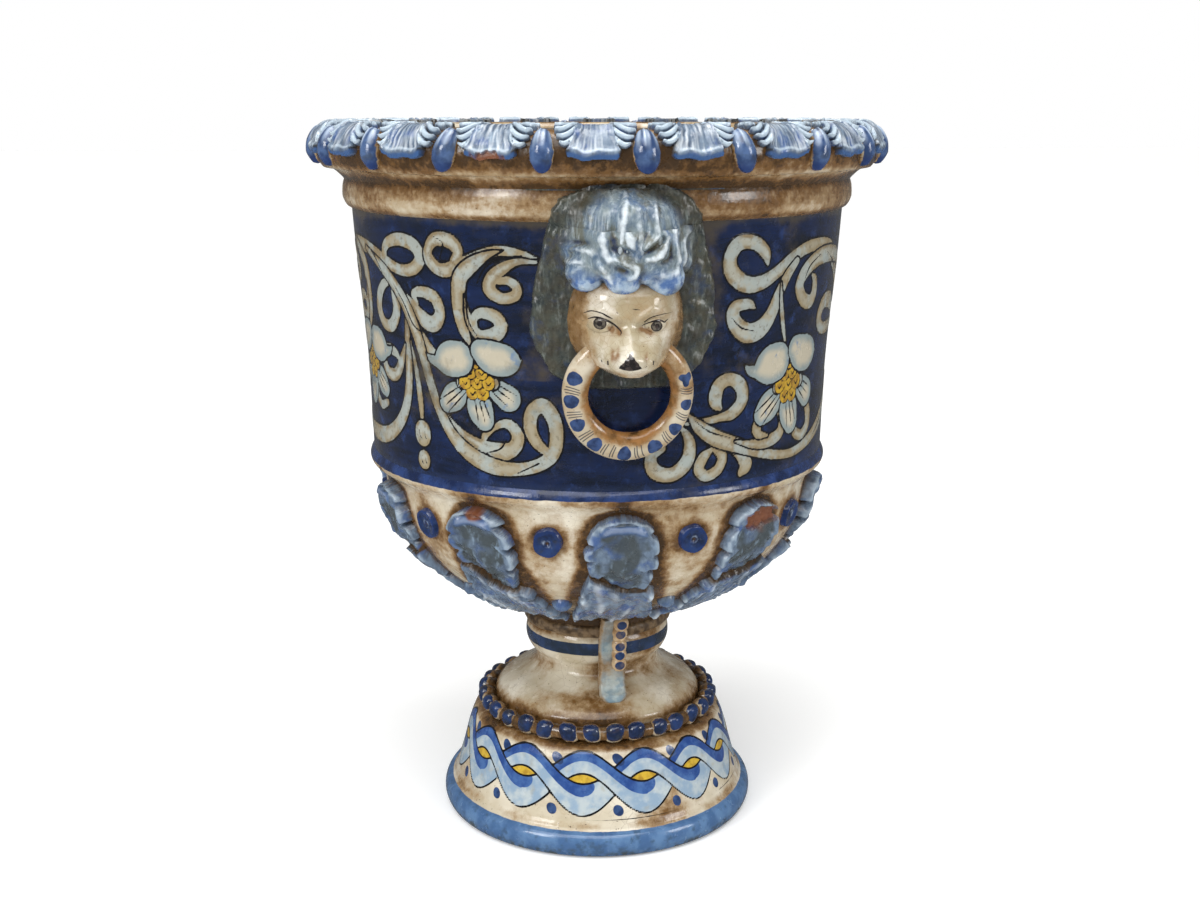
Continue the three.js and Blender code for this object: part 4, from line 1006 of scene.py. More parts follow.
def bowl_pieces(settings, glazes):
    """The thrown bowl, 3 mm behind the painted band, and the band as four curved slabs on it."""
    outer = chain([(0, 137.9), (46, 137.9)], BOWL_FOOT, BOWL, MOULDING)
    upper = chain(COLLAR, LIP_UNDER, LIP, LIP_TOP, BOWL_INSIDE)
    body = thrown(np.vstack([outer, BEHIND_BAND, upper, FLOOR[1:], [(0, 157.48)]]), settings.columns)
    points = body[0]
    outer = np.hypot(points[:, 0], points[:, 1]) > 146.5
    blue = np.where(outer & (points[:, 2] > 250) & (points[:, 2] < 280), 257.6 - points[:, 2], FAR)
    fields = {"dirt_and_shade": bowl_dirt_and_shade(points), "blue": blue}
    make("bowl_body", body, glazes["cream"], "bowl", fields)
    lengths = np.linspace(0, band_wall.lengths[-1], settings.band_rows)
    r, z, nr, nz = band_wall.at(lengths)
    for quarter in range(4):
        azimuth = np.linspace(0, 90, settings.band_columns) - 180 + 90 * quarter
        layers = []
        for shift in (-360, -180, 0, 180):
            layers += left_motif(shift + 180) + right_motif(shift)
        low, high = azimuth[[0, -1]] * BAND_DEGREE
        layers = [item for item in layers if np.min(np.array(item[1])[:, 0]) < high + 20]
        layers = [item for item in layers if np.max(np.array(item[1])[:, 0]) > low - 20]
        fields, tone = painted(azimuth * BAND_DEGREE, z, layers, settings.line)
        relief = 0.25 * rise(-np.minimum(fields["light"], fields["white"]), -0.6, 0.9)
        front = place(azimuth[None, :], r[:, None] + relief * nr[:, None], z[:, None] + relief * nz[:, None])
        keep = np.linspace(0, len(r) - 1, BACK_ROWS).astype(int)
        back = place(azimuth[None, :], (r[keep] - 2.8)[:, None], z[keep][:, None])
        edge = np.minimum(z - 263.5, 423.5 - z)
        whole = {name: both(field, behind=FAR) for name, field in fields.items()}
        whole["tone"] = both(tone)
        whole["edge"] = both(np.broadcast_to(edge[:, None], tone.shape), behind=FAR)
        front_points = front.reshape(-1, 3)
        # Dirt and painted shade: darker round the edges of the manes and under the collar.
        beside_mask = np.abs(period(azimuth_of(front_points), 180)) * BAND_DEGREE - 50
        dirt_and_shade = 0.05 + axis_dirt(front_points, 8) + 0.35 * bump(beside_mask, 12) * (front_points[:, 2] > 330)
        dirt_and_shade += 0.5 * bump(front_points[:, 2] - 423.5, 4)
        whole["dirt_and_shade"] = both(dirt_and_shade.reshape(tone.shape))
        make(f"band_{quarter + 1}", tube(front, back), glazes["band"], "bowl", whole)


def foot_piece(settings, glazes):
    """The thrown foot with its painted bell, shoulder, knop and hollow."""
    outline = chain(FOOT_RIM, FOOT_FILLET, BELL, LEDGE, SHOULDER, KNOP)
    body = thrown(np.vstack([FOOT_HOLLOW, outline, [(0, 137.4)]]), settings.foot_columns)
    make("foot_body", body, glazes["bell"], "foot", foot_fields(body[0]))


def bead_piece(glazes):
    """Rope of beads: pressed, squarish balls, each a little different and painted in front, on a roll."""
    rng = np.random.default_rng(14)
    parts, paint = [], []
    azimuth = 2.3 + np.arange(BEAD_COUNT) * 360 / BEAD_COUNT
    for a in azimuth:
        out, side = place(a, 1.0, 0.0), place(a + 90, 1.0, 0.0)
        size = rng.uniform(0.9, 1.07, 3)
        lean = rng.uniform(-0.2, 0.2)
        body = ball((0, 0, 0), np.eye(3), 22, 36)
        unit = body[0]
        unit = np.sign(unit) * np.abs(unit) ** [0.78, 0.9, 0.78]
        up = np.array([0, 0, 1.0]) + side * lean + out * 0.1
        axes = np.stack([side * 6.3 * size[0], out * 6.0 * size[1], up * 6.5 * size[2]])
        points = place(a + rng.uniform(-0.7, 0.7), 79.4, 76.4 + rng.uniform(-0.4, 0.4)) + unit @ axes
        points += 0.3 * wave(points, 9, int(a) + 5, 2)[:, None] * out
        parts.append((points, body[1]))
        across, height = unit[:, 0] * 6.3, unit[:, 2] * 6.5 - 1.7
        reach = rng.uniform(5.2, 6.2)
        patch = (np.abs(across / reach) ** 3 + np.abs(height / 5.9) ** 3) ** (1 / 3) - 1
        paint.append(np.where(unit[:, 1] > -0.1, 4.5 * patch, 4.0))
    turn = np.linspace(-180, 180, 256, endpoint=False)
    core = rod(place(turn, 78.0, 75.4), 4.8 + 0.3 * wave(turn[:, None], 40, 3, 2), 14)
    parts.append(core)
    paint.append(np.full(len(core[0]), 4.0))
    body = joined(parts)
    r, z = np.hypot(body[0][:, 0], body[0][:, 1]), body[0][:, 2]
    # Dirt and painted shade: darker between and behind the beads, and on the roll that shows between them.
    dirt_and_shade = 0.1 + 0.7 * rise(r, 80, 75) * rise(z, 76, 80)
    dirt_and_shade += 0.25 * wave(body[0], 12, 31, 3) + 0.3 * rise(z, 76, 81)
    dirt_and_shade[-len(core[0]):] += 0.75
    fields = {"paint": np.concatenate(paint), "pale": 0.0, "dirt_and_shade": dirt_and_shade}
    make("foot_beads", body, glazes["blue"], "foot_bead_band", fields)


def joint_piece(glazes):
    """Roll of slip squeezed out between foot and bowl: uneven in height and depth."""
    turn = np.linspace(-180, 180, 360, endpoint=False)
    section = np.linspace(0, 2 * np.pi, 24, endpoint=False)[:, None]
    around = place(turn, 50.0, 0.0)
    lump = 1 + 0.16 * wave(around, 14, 12, 3)
    r = 48.6 + 3.4 * np.cos(section) * lump
    z = 137.6 + 4.4 * np.sin(section) * (1 + 0.1 * wave(around, 22, 13, 2))
    points = place(turn[None, :], r, z).reshape(-1, 3)
    body = points, [grid_faces(24, 360, True, True)]
    make("joint_slip", body, glazes["slip"], "joint_roll", {"dirt_and_shade": 0.5})


RIM_FINGERS = [
    [(8, 14, 1.4), (12.5, 9.6, 2), (16.5, 7.6, 1.8), (19.6, 8.2, 0.9)],
    [(8, 18.5, 1.4), (13, 13.6, 2), (17.6, 11.4, 1.8), (21.2, 11.6, 0.9)],
    [(8.5, 23.5, 1.4), (14, 18, 1.9), (18.6, 15.4, 1.7), (22.3, 15.2, 0.9)],
    [(9.5, 28.5, 1.4), (15, 23, 1.7), (19.6, 20, 1.6), (22.8, 19.4, 0.8)],
    [(11, 33.5, 1.3), (16.5, 28, 1.6), (20.6, 25, 1.4), (23.2, 24.4, 0.7)],
]
RIM_HEIGHTS = [-1, 2, 5, 9, 14, 20, 26, 36, 46]
RIM_WIDTHS = [12.5, 15, 15.2, 13.4, 11.4, 10.6, 11, 12.6, 11.5]
DROP_HEIGHTS = [-0.4, 0.6, 3, 7, 12, 17, 21, 23.4, 24.4]
DROP_WIDTHS = [0.5, 3, 5.6, 7.3, 7.8, 7.0, 5.6, 4.4, 3]
DROP_LEAN = {18: 0.22, 19: 0.0, 0: -0.06, 1: -0.2}


def rim_leaf(k, glazes):
    """Leaf over the lip: a streaked blade with a rolled edge and curled fingers, and a drop beside it."""
    azimuth = RIM_START + RIM_PITCH * k
    rng = np.random.default_rng(100 + k)
    start = bowl_wall.length_at(459)
    stop = bowl_wall.lengths[-1] - 5 - start
    xs, ys = np.linspace(-24.5, 24.5, 84), np.linspace(-1.5, stop, 76)
    gx, gy = np.meshgrid(xs, ys)
    grid = np.stack([gx, gy], -1)
    sway = 0.5 * np.sin(gy / 9 + rng.uniform(0, 6))
    width = np.interp(ys, RIM_HEIGHTS, RIM_WIDTHS)[:, None]
    width = width * rng.uniform(0.95, 1.04) + 0.3 * np.sin(gy * 1.3 + rng.uniform(0, 6))
    edge = width - np.abs(gx - sway)
    lower = gy - 0.5 * np.sin(gx * 0.4 + rng.uniform(0, 6)) - 0.006 * gx**2 + 0.3 * wave(grid, 9, 340 + k, 2)
    inside = rise(edge, -0.3, 1.0) * rise(lower, -0.4, 0.4)
    roll = 1.5 * bump(lower - 3.4, 1.8) + 0.6 * bump(edge - 1.4, 1.2)
    fan = gx / (width + 2) * 13
    streak = wave(np.stack([fan, 0.12 * gy], -1), 2.6, 360 + k, 2)
    height = -1.4 + inside * (4.9 - 1.5 * rise(gy, 17, 26) + roll + 0.28 * streak)
    right = lobes(xs, ys, RIM_FINGERS)
    left = lobes(xs * rng.uniform(0.98, 1.06), ys - rng.uniform(-0.5, 1.5), RIM_FINGERS, mirror=True)
    fingers = np.maximum(right, left)
    rise_out = 6.0 - 1.3 * rise(gy, 17, 26)
    height = np.where(edge > 0.5, height + 0.7 * fingers, np.maximum(height, rise_out * fingers - 1.3))
    height = height + 0.15 * wave(grid, 9, 300 + k, 2) * (height > -0.5)
    # Painted highlights on the finger tips and along the roll, painted shade between the fingers.
    outside = rise(np.abs(gx) + 0.2 * gy, 12, 15)
    crest = outside * (1.5 * rise(fingers, 0.5, 0.98) - 0.9 * rise(fingers, 0.5, 0.1))
    crest = crest + 0.8 * bump(lower - 4.6, 1.1) * inside
    lip = rise(lower, 3.2, 1.8) * inside
    chip = np.full(gx.shape, 1.0)
    if k == 19:
        chip = np.hypot((gx + 1.0) / 9, (lower - 0.6) / 3.2) - 1 + 0.15 * np.sin(gx * 1.3)
        height = np.where(chip < 0, np.minimum(height, 2.6), height)
    # Dirt and painted shade where the blade sinks to the wall.
    fields = {"crest": crest, "lip": lip, "chip": chip, "moss": 0.0, "dirt_and_shade": 0.8 * rise(height, 1.6, -0.8)}
    cloud = 0.65 + 0.35 * wave(grid, 14, 380 + k, 2)
    fields["shine"] = 0.8 * inside * rise(lower, 2, 6) * rise(streak, -0.5, 1.0) * cloud
    node = f"rim_leaf_{k + 1}"
    laid(node + "_blade", node, glazes["leaf"], azimuth, xs, ys + start, height, fields)
    start = bowl_wall.length_at(454.6) - rng.uniform(2.0, 3.6)
    xs, ys = np.linspace(-10.5, 10.5, 36), np.linspace(-1, 25.5, 44)
    gx, gy = np.meshgrid(xs, ys)
    wide, turn = rng.uniform(0.93, 1.05), DROP_LEAN.get(k, rng.uniform(-0.12, 0.12))
    half = np.interp(ys, DROP_HEIGHTS, DROP_WIDTHS)[:, None] * wide
    ratio = (gx - turn * (gy - 12)) / half
    swell = np.interp(ys, [-1, 0, 2, 8, 14, 21, 23.4, 24.2], [0, 0.2, 0.62, 1, 1, 0.8, 0.6, 0.1])[:, None]
    height = -1.4 + (1.2 + 6.6 * swell) * np.sqrt(np.clip(1 - ratio**2, 0, None)) * rise(gy, -0.6, 0.2)
    height += 0.45 * bump(ratio + 0.2, 0.14) * rise(gy, 11, 21)
    height -= 0.35 * bump(ratio - 0.12, 0.12) * rise(gy, 12, 22)
    # Painted light: paler towards the top with a painted highlight down the left side, painted shade on the
    # lower part, and dirt and painted shade where the drop meets the wall.
    streaks = 0.6 + 0.4 * np.sin(ratio * 9 + rng.uniform(0, 6))
    pale = 0.8 * rise(gy, 7, 22) * streaks - 0.9 * rise(gy, 10, 3)
    pale += 0.7 * bump(ratio + 0.2, 0.1) * rise(gy, 11, 20)
    edge = 4 * (np.abs(ratio) - 0.93) + 0.8 * rise(height, 1.0, -0.4)
    fields = {"pale": pale, "dirt_and_shade": 0.2 + rise(height, 0.6, -0.6), "paint": edge}
    azimuth += RIM_PITCH / 2
    laid(node + "_drop", node, glazes["drop"], azimuth, xs, ys + start, height, fields)


FAN_HEIGHTS = [-2, 0, 8, 20, 35, 50, 62, 72, 80]
FAN_WIDTHS = [25, 26.5, 27, 26.5, 25.5, 24.5, 23, 20, 12]
FLAP_HEIGHTS = [48, 54, 60, 68, 78, 88, 98, 104, 109, 112.5, 114.5]
FLAP_WIDTHS = [15, 17, 18.5, 20.5, 23, 24.5, 22.5, 20, 15.5, 9, -2]
# Heights of the notches between the lobes: left and right of the fan, left and right of the flap
NOTCHES = ((17, 33, 50), (13, 28, 45), (70, 84, 97), (75, 88, 100))


def acanthus_leaf(k, glazes):
    """Acanthus under the bowl: a ribbed fan with lobed sides, a flap with a rolled tip over it, a bud."""
    azimuth = LEAF_PITCH * k
    rng = np.random.default_rng(200 + k)
    start = bowl_wall.length_at(161)
    xs, ys = np.linspace(-28, 28, 90), np.linspace(-2, 117, 150)
    gx, gy = np.meshgrid(xs, ys)
    grid = np.stack([gx, gy], -1)
    gx = gx + 0.9 * wave(grid, 36, 500 + k, 2)
    tilt = {0: -0.26, 1: 0.5, 9: -0.45}.get(k, rng.uniform(-0.35, 0.35))
    fold = 60 + tilt * gx + 2.2 * np.sin(gx * 0.17 + rng.uniform(0, 6)) + 0.8 * wave(grid, 14, 515 + k, 2)
    fold = fold + 0.013 * np.clip(-gx, 0, None) ** 2
    edges = []
    outlines = (FAN_HEIGHTS, FAN_WIDTHS, NOTCHES[:2]), (FLAP_HEIGHTS, FLAP_WIDTHS, NOTCHES[2:])
    for heights, widths, pair in outlines:
        wide = np.interp(ys, heights, widths)[:, None] * rng.uniform(0.96, 1.03)
        cut = np.zeros(gx.shape)
        for sign, notches in zip((-1, 1), pair):
            for notch in notches:
                at = notch + rng.uniform(-2, 2) - 0.35 * (np.abs(gx) - 20)
                depth = rng.uniform(3.0, 5.5)
                cut = np.maximum(cut, (sign * gx > 0) * depth * bump(gy - at, 1.9))
        edges.append(wide - cut - np.abs(gx))
    fan_edge, flap_edge = edges
    spread = gx / (14 + 0.2 * gy)
    rib = wave(np.stack([spread * 22, 0.1 * gy], -1), 9, 530 + k, 2)
    fan_in = rise(fan_edge, -0.4, 1.4) * rise(gy, -1.8, 1.0) * rise(gy - fold, 1.0, 0.0)
    fan = 4.3 + 1.1 * rib + 1.6 * bump(fan_edge - 3.2, 2.4) + 0.6 * bump(gx, 2)
    fan = -1.4 + fan_in * (fan + 2.6 * rise(gy - fold, -16, -3))
    over = rise(gy - fold, -0.4, 0.5)
    flap_in = rise(flap_edge, -0.4, 1.6) * over
    cup = 3.0 + 4.6 * rise(gy - fold, 0, 24) + 1.8 * bump(flap_edge - 3.5, 2.8)
    tip = 3.8 * bump(gy - 107 + 0.018 * gx**2, 4) * rise(18 - np.abs(gx), 0, 8)
    lump = 1.1 * wave(grid, 22, 520 + k, 3) + 0.5 * bump(gx - 1, 1.8) * rise(gy, 96, 78)
    flap = -1.4 + flap_in * (cup + tip + lump)
    height = np.maximum(fan, flap)
    height = height + (0.35 * wave(grid, 7, 540 + k, 3)) * rise(height, -1, 1)
    # Painted highlights on the ribs and ridges, painted shade in the hollows, and a painted shadow under the
    # fold of the flap.
    crest = 0.55 * crest_of(height, 5, 2.4) + 0.3 * rib * fan_in * (1 - over)
    under = bump(gy - fold - 1.2, 1.3) * rise(flap_edge, -2, 1)
    moss = rise(flap_edge, 3, 9) * over * (0.75 + 0.5 * wave(grid, 24, 560 + k, 2))
    chip = np.full(gx.shape, 1.0)
    if k == 9:
        chip = np.hypot((gx - 1) / 6.5, (gy - 111) / 3.8) - 1
    if k == 1:
        chip = np.hypot((gx - 6 + 0.9 * (gy - 100)) / 15, (gy - 103 - 0.2 * gx) / 8) - 1
        chip = chip + 0.3 * wave(grid, 14, 571, 2)
        height = np.where(chip < 0, np.minimum(height, 4.4 + 0.4 * wave(grid, 6, 572, 2)), height)
    fields = {"crest": crest - 1.3 * under, "moss": np.clip(moss, 0, 1), "chip": chip}
    fields["lip"] = 0.8 * rise(tip * over, 1.4, 3.4)
    fields["shine"] = 0.45 * rise(rib, 0.2, 1.1) * fan_in * (1 - over) + 0.2 * rise(tip * over, 2.6, 4.2)
    # Dirt and painted shade where the leaf sinks to the wall, and the painted shadow under the fold.
    fields["dirt_and_shade"] = 0.9 * rise(height, 1.8, -0.8) + 0.95 * under
    node = f"acanthus_leaf_{k + 1}"
    laid(node + "_blade", node, glazes["leaf"], azimuth, xs, ys + start, height, fields)
    place_at = bowl_wall.length_at(179)
    xs, ys = np.linspace(-7.5, 7.5, 24), np.linspace(-7, 7, 24)
    gx, gy = np.meshgrid(xs, ys)
    swell = dome(gx / 6.3 + 0.1 * np.sin(gy), gy / (5.4 * rng.uniform(0.9, 1.1)))
    height = -1.2 + 7.0 * swell + 0.5 * wave(np.stack([gx, gy], -1), 6, 580 + k, 2) * swell
    azimuth += LEAF_PITCH / 2 + rng.uniform(-1, 1)
    # Painted highlight and shade on the bud from its height; dirt and painted shade at its foot.
    fields = {"crest": 0.4 * crest_of(height, 3, 3.0), "moss": 0.3, "chip": 1.0, "shine": 0.0}
    fields["lip"] = 0.3 * swell
    fields["dirt_and_shade"] = rise(height, 1.5, -1)
    laid(node + "_bud", node, glazes["leaf"], azimuth, xs, ys + place_at, height, fields)


def stud_piece(k, glazes):
    """Stud: a dished button with a turned-up edge and a small pricked ring in its middle."""
    rng = np.random.default_rng(700 + k)
    centre = bowl_wall.length_at(228.5)
    xs = np.linspace(-11, 11, 44)
    gx, gy = np.meshgrid(xs, xs)
    angle = np.arctan2(gy, gx)
    radius = np.hypot(gx, gy) / (1 + 0.05 * np.cos(2 * angle + rng.uniform(0, 6)) + 0.02 * np.cos(5 * angle))
    height = -1.2 + rise(radius, 10.3, 8.6) * (4.6 - 1.3 * rise(radius, 8, 3))
    height += 0.5 * bump(radius - 2.3, 0.7) - 0.9 * bump(radius, 1.1)
    # A painted highlight on the pricked ring, darker blue towards the edge; dirt and painted shade at the
    # rim and in the middle pit.
    pale = -0.6 * rise(radius, 4, 8) + 0.35 * bump(radius - 2.2, 0.8)
    pale = pale + 0.25 * wave(np.stack([gx, gy], -1), 7, 720 + k, 3)
    dirt_and_shade = 0.25 + 0.5 * rise(radius, 9.2, 10) + 0.9 * bump(radius, 1.6)
    fields = {"pale": pale, "dirt_and_shade": dirt_and_shade, "paint": radius - 9.9}
    node, azimuth = f"stud_{k + 1}", LEAF_PITCH * (k + 0.5)
    laid(node + "_button", node, glazes["blue"], azimuth, xs, xs + centre, height, fields)


CRESTS = [
    [(-15, 423, 1), (-14.5, 417, 1.6), (-13.4, 411.4, 1.7), (-10.8, 407, 1.7), (-5.5, 405, 1.5),
     (0, 404, 1.4), (2, 402, 1)],
    [(-3.2, 424, 0.8), (-2.4, 419.6, 1.5), (-1, 415, 1.6), (0, 412, 1)],
    [(12.7, 421, 0.7), (9.7, 417.4, 1.2), (5.2, 413.6, 1)],
    [(16.5, 420.3, 0.8), (15.4, 413.6, 1.6), (12, 409, 1.9), (6, 406.8, 1)],
    [(21.8, 417.4, 0.8), (22, 411.4, 1.4), (23.7, 407, 1.5), (24.5, 402.4, 1.5), (21, 398.7, 1.4),
     (13.5, 397.2, 1)],
    [(-15.7, 404.7, 1), (-13.4, 400.2, 1.7), (-11.5, 396.5, 1.8), (-9.2, 393.8, 1)],
    [(2.3, 404, 0.8), (1.5, 400.2, 1.4), (-1.7, 396.5, 1)],
    [(33.6, 420, 0.7), (29.4, 416.6, 1), (28.6, 412, 1.1), (29.5, 407, 1), (28.6, 401, 1.1),
     (26.4, 395.3, 0.8)],
    [(-35.8, 411, 0.7), (-29, 412, 1.2), (-22, 411.5, 1.2), (-18.7, 409, 0.8)],
    [(-40.3, 407, 0.8), (-36.5, 402, 1.3), (-31, 404, 1.3), (-25.5, 405, 1.2), (-20.6, 402, 0.8)],
    [(-39, 401, 0.7), (-34.6, 397.2, 1.1), (-29, 400.6, 1.1), (-24.4, 401, 0.8)],
    [(-2.8, 439, 0.6), (-3.8, 433.8, 1.1), (-6.2, 427.8, 1.2), (-7, 422.6, 0.7)],
    [(12.3, 436, 0.6), (11.4, 431, 1), (13.9, 426.3, 0.7)],
    [(25.6, 427.4, 0.6), (22, 422.6, 1.1), (21.7, 418.8, 0.7)],
    [(3.6, 434, 0.6), (2.9, 429.3, 1), (5.2, 424, 0.6)],
    [(-12, 430, 0.6), (-13.4, 425, 1), (-15, 421, 0.6)],
]
GAPS = [
    [(-10.4, 412.9, 1.2), (-6.2, 412, 2.3), (-0.5, 411, 1)],
    [(-9.2, 405, 1.4), (-5.5, 402.4, 2.5), (-2, 399.8, 1.4)],
    [(5.2, 410.6, 1.2), (9.7, 413.6, 2.2), (14.6, 418.5, 1.2)],
    [(18.2, 416.6, 1.2), (18.4, 411.4, 1.7), (18, 408.4, 1)],
    [(12, 406, 1), (16.5, 406, 1.7), (20, 408, 1)],
    [(-16.4, 402.4, 0.8), (-15, 396.5, 1.3), (-12.3, 389.7, 1.4), (-10, 386.4, 1)],
    [(25.5, 402.4, 1), (26.2, 398, 1.5), (26, 393.5, 1)],
    [(-35.4, 413, 1.2), (-29, 413.8, 2), (-21.4, 414.8, 1.2)],
    [(5.2, 401, 0.8), (3.6, 396.5, 1.2), (5.9, 390.5, 1.2), (6.5, 386, 1)],
    [(-29.7, 395, 1), (-32, 390.5, 1.8), (-33, 386, 1)],
    [(-39.5, 404.5, 0.8), (-34, 400, 1.2), (-28, 402.3, 0.8)],
    [(-10, 424, 0.8), (-9.5, 418, 1.4), (-9, 414, 0.8)],
    [(7, 424, 0.8), (4, 419, 1.4), (3, 414, 0.8)],
]
HAIRLINE = [(-3.6, 395.5, 11, 12, 28.6), (17.6, 395, 11.6, 11.5, 27.4), (-22.5, 398, 11.5, 12, 24.5)]
PLAQUE_HEIGHTS = [324, 328, 335, 350, 363, 388, 412, 425, 437, 444, 447]
PLAQUE_WIDTHS = [26, 31, 43, 53, 57, 54, 48, 46, 39, 24, 15]


def mane_piece(side, turn, glazes):
    """Mane: the highest of a flat plaque, a dome with ridges along strokes, and blunt half balls."""
    low, high = bowl_wall.length_at(325), bowl_wall.length_at(441.9)
    ys = np.linspace(low, high + 5, 170)
    z = bowl_wall.at(ys)[1]
    xs = np.linspace(-59, 59, 176)
    gx, gz = np.meshgrid(xs, z)
    grid = np.stack([gx, gz], -1)
    width = np.interp(z, PLAQUE_HEIGHTS, PLAQUE_WIDTHS)[:, None]
    width = width + 1.2 * wave(grid, 16, 41, 3) + rise(gz, 405, 430) * (1.5 * wave(grid, 7, 46, 3))
    edge = width - np.abs(gx)
    ragged = gz + 1.4 * wave(grid, 8, 45, 3)
    inside = rise(edge, -0.5, 2.2) * rise(gz, 325.6, 328) * rise(ragged, 445.5, 442.0)
    bent = gx + 1.6 * wave(grid, 30, 42, 2)
    strand = wave(np.stack([bent, 0.2 * gz], -1), 3.6, 48, 2)
    plaque = -1.4 + inside * (4.2 + 0.5 * strand + 0.9 * wave(grid, 15, 43, 3))
    wider = [[(x, up, 1.5 * half) for x, up, half in crest] for crest in CRESTS]
    ridge = lobes(xs, z, wider)
    gap = lobes(xs, z, GAPS)
    below = np.clip((414 - gz) / 29, 0, None)
    reach = np.hypot(gx / 40, np.where(gz < 414, below**1.8, (gz - 414) / 31)) + 0.04 * wave(grid, 18, 49, 2)
    swell = 28.0 * (1 - rise(reach, 0.3, 1.1))
    waves = 0.9 * wave(grid, 13, 47, 2) + 0.35 * strand
    hair = swell + rise(swell, 1, 8) * (2.6 * ridge - 2.4 * gap + waves)
    line = np.zeros(gx.shape)
    over = np.zeros(gx.shape)
    for cx, cz, wide, tall, height in HAIRLINE:
        part = dome((gx - cx) / wide, (gz - cz) / tall)
        line = np.maximum(line, part)
        over = np.maximum(over, height * part**0.42)
    over = over - 2.0 * gap + 1.6 * ridge + 0.6 * strand * line
    hair = np.where(reach < 1.1, hair, -2.0) + np.where(reach < 1.1, np.maximum(plaque, 0), 0)
    hair = np.maximum(hair, np.where(line > 0, over, -2.0))
    height = blurred(np.maximum(plaque, hair), 1)
    height = np.where(inside > 0, height, -2.0)
    soft = rise(swell, 2, 12)
    streak = rise(strand, 0.1, 1.0)
    # Painted highlights along the ridges and strands, painted shade in the gaps between locks.
    crest = soft * (1.15 * ridge * (0.75 + 0.25 * streak) + 0.35 * streak - 1.1 * gap)
    crest = np.where(line > 0.2, 0.75 * ridge - 0.9 * gap + 0.3 * streak, crest + 0.3 * (1 - soft) * streak)
    crest = 1.15 * blurred(crest, 2)
    low_part = rise(gz + 2 * wave(grid, 12, 50, 2), 403, 393)
    lobed = rise(line, 0.0, 0.3)
    fields = {"crest": crest, "lip": lobed * low_part, "dirt_and_shade": 0.55 - 0.4 * soft}
    fields["hair"] = np.maximum(soft, lobed)
    node = f"lion_mane_{side}"
    laid(f"mane_{side}", node, glazes["mane"], turn, xs, ys, height, fields)


FACE_HEIGHTS = [339.6, 341, 344, 349, 355, 361, 368, 378, 385, 389, 391]
FACE_WIDTHS = [12, 15, 19.5, 21.5, 22.5, 25.5, 28.5, 29.5, 28.8, 27.5, 26]
FACE_BACKS = [14, 18, 24, 29, 32, 33.5, 34, 33, 31, 29, 27]
DEPTH_HEIGHTS = [339.6, 341, 344, 348, 352, 356, 362, 368, 374, 380, 385, 389, 391]
DEPTHS = [35.6, 38.6, 41.6, 42.5, 41.9, 38.3, 33.5, 30, 29.5, 29, 27.6, 25, 22]
EYES = ((-17.6, 368.9, 0.94, 3.5), (14.3, 367.2, 0.85, 3.4))
PUPILS = ((-17.9, 369, 1.5), (14.6, 367.3, 1.4))
FACE_LINES = [
    [(-23.7, 371.1, 0.25), (-19.7, 372.4, 0.5), (-13.9, 370.8, 0.6), (-9.6, 368.4, 0.5),
     (-6.4, 365.2, 0.35), (-6.7, 363.4, 0.12)],
    [(-26.2, 374, 0.12), (-23.3, 375.6, 0.32), (-20.8, 375.9, 0.3), (-16.8, 375, 0.35), (-13.6, 373.3, 0.5),
     (-10.9, 372, 0.2)],
    [(5.7, 367.7, 0.12), (10, 369.6, 0.35), (14.3, 370.5, 0.6), (17.2, 370.2, 0.5), (19.1, 369.2, 0.4),
     (21.6, 370.4, 0.2)],
    [(7.1, 369.9, 0.3), (10, 371.9, 0.35), (14.3, 373.2, 0.28), (19.4, 374, 0.18), (23.8, 374.1, 0.1)],
    [(0, 377.6, 0.12), (2.2, 377.2, 0.25), (4.6, 376.9, 0.12)],
    [(-14.3, 349.2, 0.35), (-14.1, 347.2, 0.4)],
    [(-17.3, 349, 0.2), (-17, 348, 0.25)],
    [(11, 349.4, 0.4), (10.8, 347.4, 0.3)],
    [(-24.6, 386.4, 0.9), (-24.2, 386.2, 0.9)],
]


